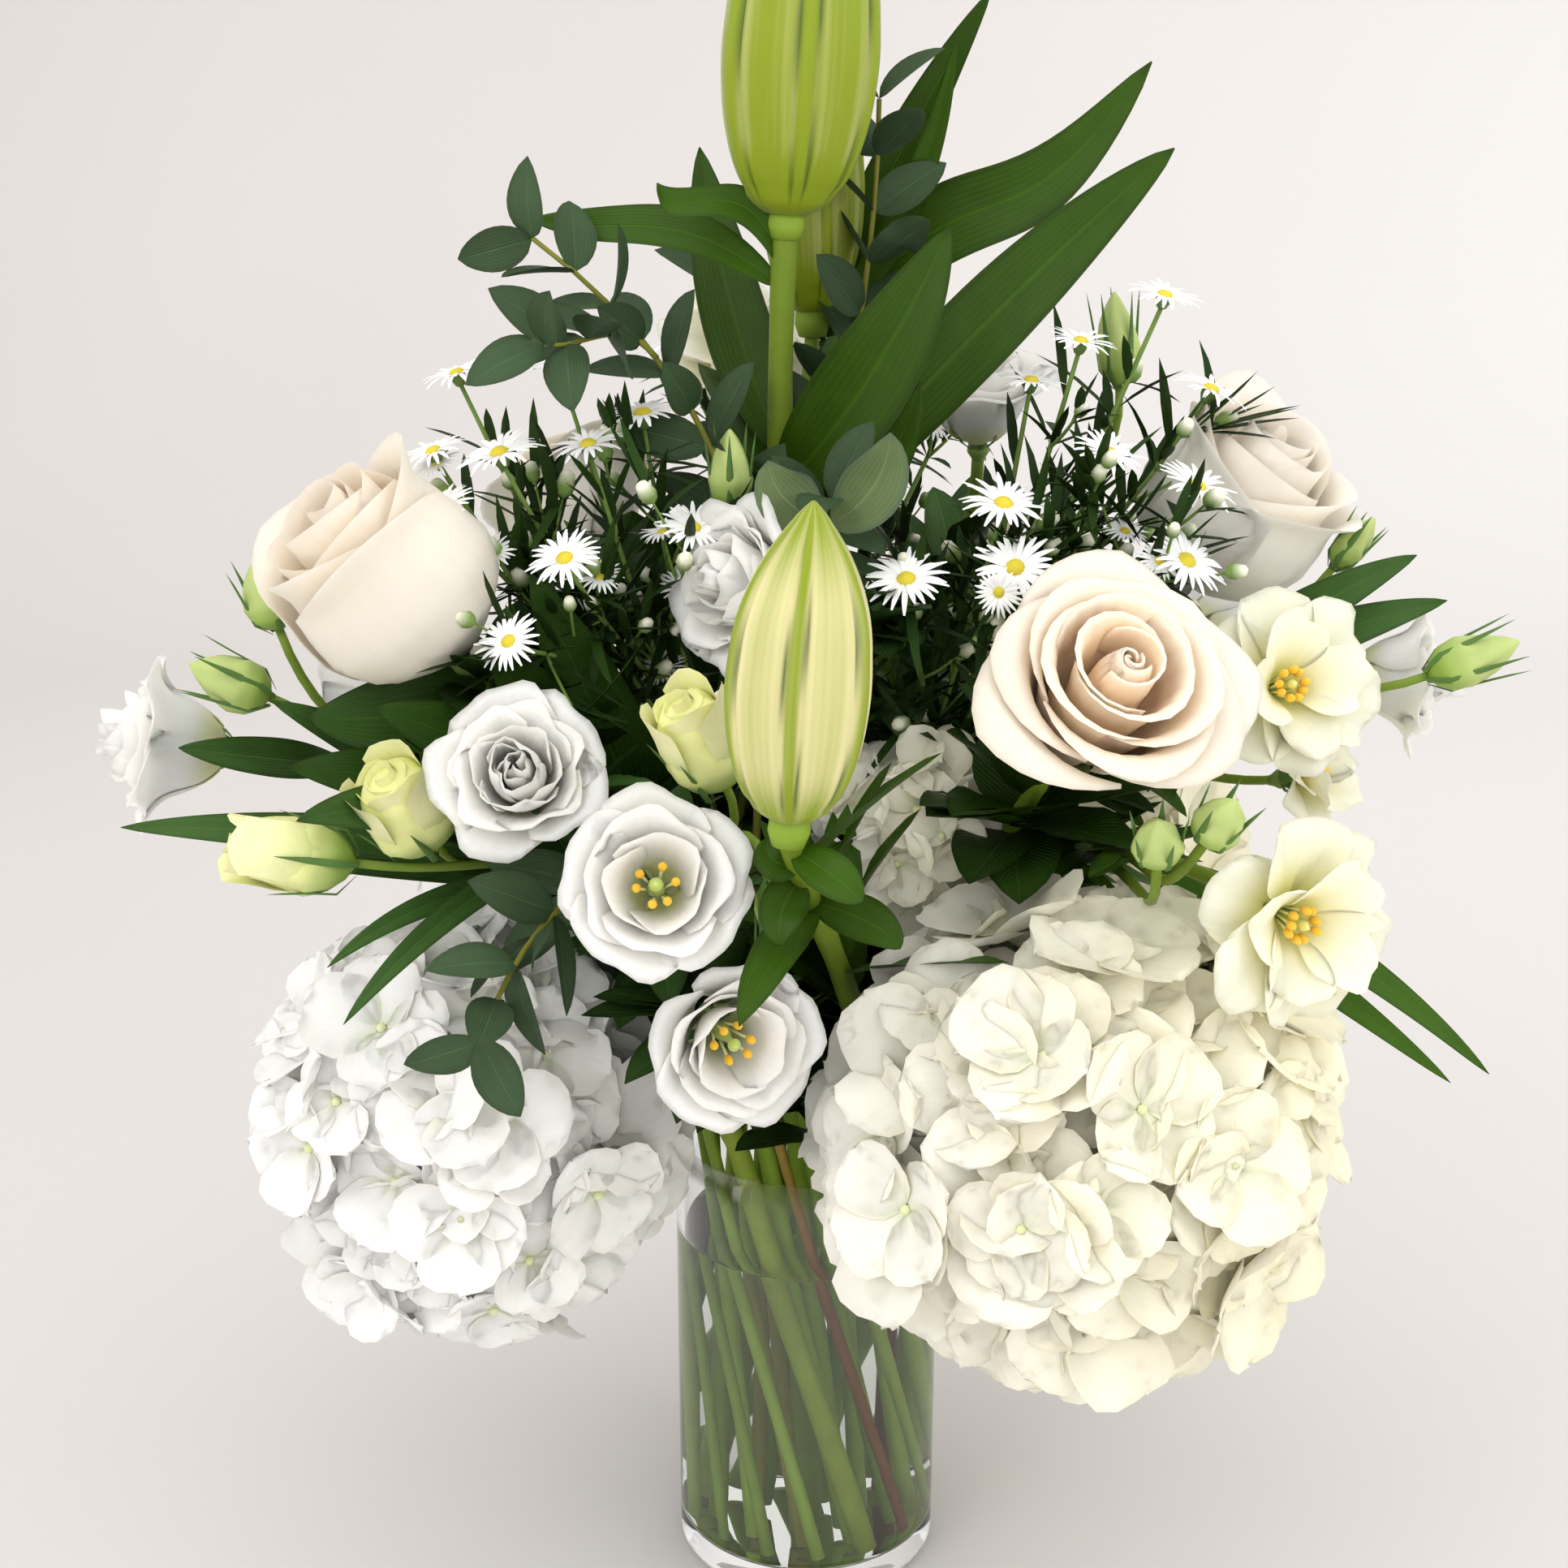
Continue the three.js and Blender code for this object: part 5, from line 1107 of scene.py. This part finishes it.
def grow_asters(piece, stem, bend, number, colour, rng):
    """Wiry branches, each to a head of white rays round a yellow disc, with needle leaves and buds.

    Each branch has six twigs. One twig in six ends in a small half open head and the others in a bud.
    """
    seed = 400 + 10 * number
    paths, heads, facings, reach = [], [], [], []
    t = np.linspace(0, 1, 10)
    for k, head in enumerate(stem["heads"]):
        start_at = 0.4 + 0.58 * (k + draw(seed, k)) / len(stem["heads"])
        start = bezier([bend], np.array([start_at]))[0, 0]
        at = np.array(head, float)
        facing = unit(unit(at - chord_point(bend, 5, start_at)) + [0, -0.2, 0.75])
        size = 9.5 + 3 * draw(seed + 1, k)
        end = at - facing * size * 0.4
        middle = 0.5 * (start + end) + [0, 0, -0.06 * np.linalg.norm(end - start)]
        paths.append(bezier([[start, middle, end]], t)[0])
        heads.append(at)
        facings.append(facing)
        reach.append(size)
    twigs, buds, ways = [], [], []
    for path in paths:
        for _ in range(6):
            place = path[rng.integers(3, 9)]
            way = unit(unit(path[-1] - path[0]) + 0.75 * rng.normal(size=3) + [0, 0, 0.3])
            tip = place + way * (14 + 16 * rng.random())
            twigs.append(bezier([[place, 0.5 * (place + tip) + [0, 0, -2], tip]], t)[0])
            buds.append(tip)
            ways.append(way)
    piece.rings(tubes(np.array(paths), np.linspace(1.3, 0.8, 10), 6), (0.16, 0.26, 0.06), PLAIN)
    piece.rings(tubes(np.array(twigs), np.linspace(0.8, 0.5, 10), 4), (0.16, 0.26, 0.06), PLAIN)
    bud = turned([[0.1, -0.5], [1.7, 0.6], [2.3, 2.4], [1.9, 4.2], [1.5, 5.6], [0.1, 6.4]], 8)
    buds, ways = np.array(buds), np.array(ways)
    n = len(buds)
    shut = np.arange(n) % 6 > 0
    bud = np.repeat(bud, n, 0) * (1.0 + 0.5 * rng.random(n))[:, None, None, None]
    bud = moved(bud, flower_axes(ways), buds)[shut]
    half_open = ~shut & ~in_bloom(buds[:, None])
    heads = np.concatenate([heads, buds[half_open]])
    facings = np.concatenate([facings, unit(ways[half_open] + [0, -0.5, 0.4])])
    reach = np.concatenate([reach, np.full(half_open.sum(), 7.0)])
    tip_white = mix((0.20, 0.32, 0.08), (0.88, 0.88, 0.72), np.array([0, 0, 0, 0.5, 1, 1]))[None, :, None]
    piece.rings(bud, np.broadcast_to(tip_white, bud.shape), PLAIN)
    everything = np.concatenate([np.array(paths), np.array(twigs)])
    carrier = rng.integers(0, len(everything), 70 * len(paths))
    place = everything[carrier, rng.integers(0, 10, len(carrier))]
    way = unit(everything[carrier, -1] - everything[carrier, 0])
    direction = unit(rng.normal(size=place.shape) + 0.9 * way + [0, 0, 0.25])
    span = (16 + 20 * rng.random(len(place)))[:, None]
    widths = np.full(len(place), 3.8)
    needles = leaf_grids(place, place + direction * span, 0.10 * span * way, widths, UP, 5, 3)
    ends = needles[:, ::4, 1]
    near_head = np.linalg.norm(ends[:, :, None] - heads, axis=-1).min((1, 2)) < 11
    keep = ~(in_bloom(needles) | near_head)
    tone = (0.7 + 0.8 * rng.random(keep.sum()))[:, None, None, None]
    piece.sheets(needles[keep], 0.5, np.asarray(colour) * tone, leaf_surface(needles[keep], 1.0, rng))
    axes = flower_axes(facings)
    rays = 24
    u, v = half_round(5, 3)
    for at, axis, size in zip(heads, axes, reach):
        turn = 2 * np.pi * (np.arange(rays) + 0.3 * rng.random(rays)) / rays
        length = size * (0.86 + 0.24 * rng.random(rays))[:, None, None]
        droop = (0.35 * rng.random(rays) - 0.1)[:, None, None]
        x = size * 0.18 + length * u
        y = 0.085 * size * np.sin(np.pi * np.clip(0.12 + 0.83 * u, 0, 0.97)) ** 0.6 * v * np.ones_like(x)
        z = size * (0.40 * u - (0.30 + droop) * u ** 2)
        z = z + 0.02 * size * (np.arange(rays) % 2)[:, None, None] + 0 * y
        c, s = np.cos(turn)[:, None, None], np.sin(turn)[:, None, None]
        x = x + 0 * y
        ray = np.stack([x * c - y * s, x * s + y * c, z], -1)
        piece.sheets(ray @ axis.T + at, 0.35, (0.93, 0.93, 0.92), surface_of(u, v, 0.4 * rng.random(rays)))
        disc = turned([[0.1, -0.5], [1.0, -0.3], [1.15, 0.35], [0.8, 0.85], [0.1, 1.05]], 14)
        disc = disc * [0.23 * size, 0.23 * size, 0.18 * size]
        piece.rings(disc @ axis.T + at, (0.70, 0.58, 0.05), (0, 0.5, 0.6))
        cup = turned([[0.1, -0.42], [0.16, -0.38], [0.24, -0.2], [0.26, 0.02], [0.1, 0.06]], 12) * size
        piece.rings(cup @ axis.T + at, (0.13, 0.22, 0.06), PLAIN)


def grow_eucalyptus(piece, stem, bend, number, colour, rng):
    """Crosswise pairs of small oval leaves on the branch and its side shoot, and a broad pair on one."""
    seed = 400 + 10 * number
    runs = [(bend, stem["start"], stem["pairs"])]
    if "side" in stem:
        tip, at = stem["side"]
        start = chord_point(bend, 5, at)
        tip = np.array(tip, float)
        side = bend_to(bezier([bend], np.array([at]))[0, 0], tangent(bend, at), tip, unit(tip - start), 0.4)
        path = bezier([side], np.linspace(0, 1, 14))
        piece.rings(tubes(path, np.linspace(1.2, 0.6, 14), 6), GREEN["eucalyptus"][0], PLAIN)
        runs.append((side, 0.3, 4))
    roots, tips = [], []
    for run, (path, start, pairs) in enumerate(runs):
        for k in range(pairs):
            t = start + (1 - start) * (k + 1) / pairs
            root = bezier([path], np.array([t]))[0, 0]
            along = tangent(path, t)
            turn = (k % 2) * math.pi / 2 + draw(seed + run, k)
            level = unit(np.cross(along, [0.3, 0.2, 1.0]))
            for half in (0, math.pi):
                out = level * math.cos(turn + half) + np.cross(level, along) * math.sin(turn + half)
                span = 36 - 10 * k / pairs
                roots.append(root)
                tips.append(root + out * span * 0.8 + along * span * 0.6)
    above = unit(np.array([0.1, -0.5, 0.6]) + 0.45 * rng.normal(size=(len(roots), 1, 3)))
    bows = 3.0 * above[:, 0]
    grids = leaf_grids(roots, tips, bows, 13 + 3 * rng.random(len(roots)), above, 11, 7, 0.85)
    tone = (0.8 + 0.4 * rng.random(len(roots)))[:, None, None, None]
    skin = np.asarray(colour) * tone
    piece.sheets(grids, 0.6, skin, leaf_surface(grids, 1.0, rng), skin * 1.25)
    if "broad" in stem:
        root, left, right, width = stem["broad"]
        bows = [(-9, -3, -3), (9, -3, -3)]
        grids = leaf_grids([root, root], [left, right], bows, [width, width], TO_FRONT, 13, 9, 0.9)
        piece.sheets(grids, 0.7, (0.085, 0.135, 0.085), leaf_surface(grids, 1.0, rng), (0.12, 0.17, 0.07))


for number, (name, stem) in enumerate(stems.items()):
    rng = np.random.default_rng(900 + number)
    foot = ring_point(stem["slot"], TWIST, FOOT)
    mouth = ring_point(stem["slot"], 0, MOUTH)
    end, facing = end_of(stem)
    bend = bend_to(mouth, unit(mouth - foot), end, facing, stem.get("reach", 0.35))
    straight = foot + (mouth - foot) * np.linspace(0, 1, 9)[:-1, None]
    path = np.concatenate([straight, bezier([bend], np.linspace(0, 1, 26))[0]])
    family = next(f for f in GREEN if f in name)
    stalk, leaf_colour = GREEN[family]
    piece = Piece()
    swell = stem["radius"] * (1 + 0.05 * np.sin(np.arange(len(path)) * 1.3 + number))
    if "at" in stem:
        swell = swell * np.linspace(1.25, 0.45, len(path))
    # Painted light and shade: the stalk colour goes from 1.3 times lighter low in the water to 0.65 times up
    # among the flowers.
    high = step(120, 260, path[:, 2])[:, None, None]
    skin = np.asarray(stalk) * (0.9 + 0.5 * rng.random()) * (1.3 - 0.65 * high)
    if name in ("eucalyptus_left", "stem_cream_top"):
        skin = mix((0.24, 0.09, 0.03), skin, high[..., 0])
    sides = 12
    skin = np.broadcast_to(skin, (len(path), sides, 3))
    piece.rings(tubes(path[None], swell[None], sides), skin, PLAIN)
    if "to" in stem:
        flower_foot(piece, stem, rng)
    for shoot in stem.get("shoots", []):
        start = bezier([bend], np.array([shoot["start"]]))[0, 0]
        tip, way = end_of(shoot)
        side = bend_to(start, tangent(bend, shoot["start"]), tip, way, 0.4)
        run = bezier([side], np.linspace(0, 1, 14))
        piece.rings(tubes(run, np.linspace(0.8, 0.62, 14) * stem["radius"], 8),
                    np.asarray(stalk) * 0.8, PLAIN)
        if "to" in shoot:
            flower_foot(piece, shoot, rng)
        else:
            small_bud(piece, shoot, rng)
    material, slot = greenery, "green_stems"
    if "leaf" in stem:
        grow_leaves(piece, name, stem, bend, number, leaf_colour, rng)
    if "heads" in stem:
        grow_asters(piece, stem, bend, number, leaf_colour, rng)
        material, slot = aster_green, "aster_sprays"
    if "pairs" in stem:
        grow_eucalyptus(piece, stem, bend, number, leaf_colour, rng)
        material, slot = waxy_green, "eucalyptus_leaves"
    piece.finish(name + "_growth", material, slot, name)


# The vase and its water: a clear soda-glass cylinder with a thick flat base and a fire-polished
# rim, filled to three quarters. The stems stand in the water.
def clear_material(name, ior, colour):
    """A clear material that light bends in, faintly rippled, with its tree, shader and object coordinates."""
    material, tree, shader = new_material(name, Roughness=0.0, IOR=ior, Transmission_Weight=1.0)
    place = node(tree, "ShaderNodeTexCoord", output=3)
    ripple = node(tree, "ShaderNodeTexNoise", Vector=place, Scale=14.0, Detail=1.0)
    raise_on(tree, shader, ripple, 0.03, 0.001)
    shader.inputs["Base Color"].default_value = (*colour, 1)
    return material, tree, shader, place


VASE_RADIUS, VASE_HEIGHT, WALL, BASE, WATER = 51.0, 178.0, 3.0, 10.0, 138.0
inner, half_wall = VASE_RADIUS - WALL, WALL / 2
lip = np.linspace(0, np.pi, 9)
rim = np.stack([
    inner + half_wall + half_wall * np.cos(lip), VASE_HEIGHT - half_wall + half_wall * np.sin(lip),
], -1)
corner = np.linspace(0, np.pi / 2, 6)
heel = np.stack([VASE_RADIUS - 3 + 3 * np.sin(corner), 3 - 3 * np.cos(corner)], -1)
well = np.stack([inner - 5 + 5 * np.cos(corner), BASE + 5 - 5 * np.sin(corner)], -1)
wall_out = [[VASE_RADIUS, z] for z in np.linspace(8, VASE_HEIGHT - 6, 12)]
wall_in = [[inner, z] for z in np.linspace(VASE_HEIGHT - 6, BASE + 10, 12)]
floor_out = [[r, 0.0] for r in (0.05, 20, 40)]
floor_in = [[r, BASE] for r in (30, 12, 0.05)]
glass = Piece()
glass.rings(turned(np.concatenate([floor_out, heel, wall_out, rim, wall_in, well, floor_in]), 128), 1, 0)
clear_glass, tree, shader, place = clear_material("clear_glass", 1.45, (0.97, 0.99, 0.985))
# The wall fades over 8 mm below the rim, where light caught in the lip would show as a black line.
# The share of full glass is FADE_SLOPE times the height in metres plus FADE_LEVEL.
FADE_SLOPE, FADE_LEVEL, RIM_ALPHA = -118, 20.8, 0.22
body = (place.part(2) * FADE_SLOPE + FADE_LEVEL).math("MINIMUM", 1).math("MAXIMUM", 0)
feed(tree, body * (1 - RIM_ALPHA) + RIM_ALPHA, shader.inputs["Alpha"])
glass.finish("vase_glass", clear_glass, "glass", "vase")
meniscus = [
    [inner + 0.06, WATER + 1.2], [inner - 0.8, WATER + 0.4], [inner - 2.5, WATER], [30, WATER], [0.05, WATER],
]
pool = np.concatenate([
    [[0.05, BASE + 0.05], [20, BASE + 0.05], [inner - 6, BASE + 0.05]],
    well[::-1] + [0.06, 0.05], [[inner + 0.06, 40], [inner + 0.06, 90]], meniscus,
])
water = Piece()
water.rings(turned(pool, 128), 1, 0)
water.finish("vase_water", clear_material("clear_water", 1.33, (0.96, 0.985, 0.965))[0], "water", "water")

low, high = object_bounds()
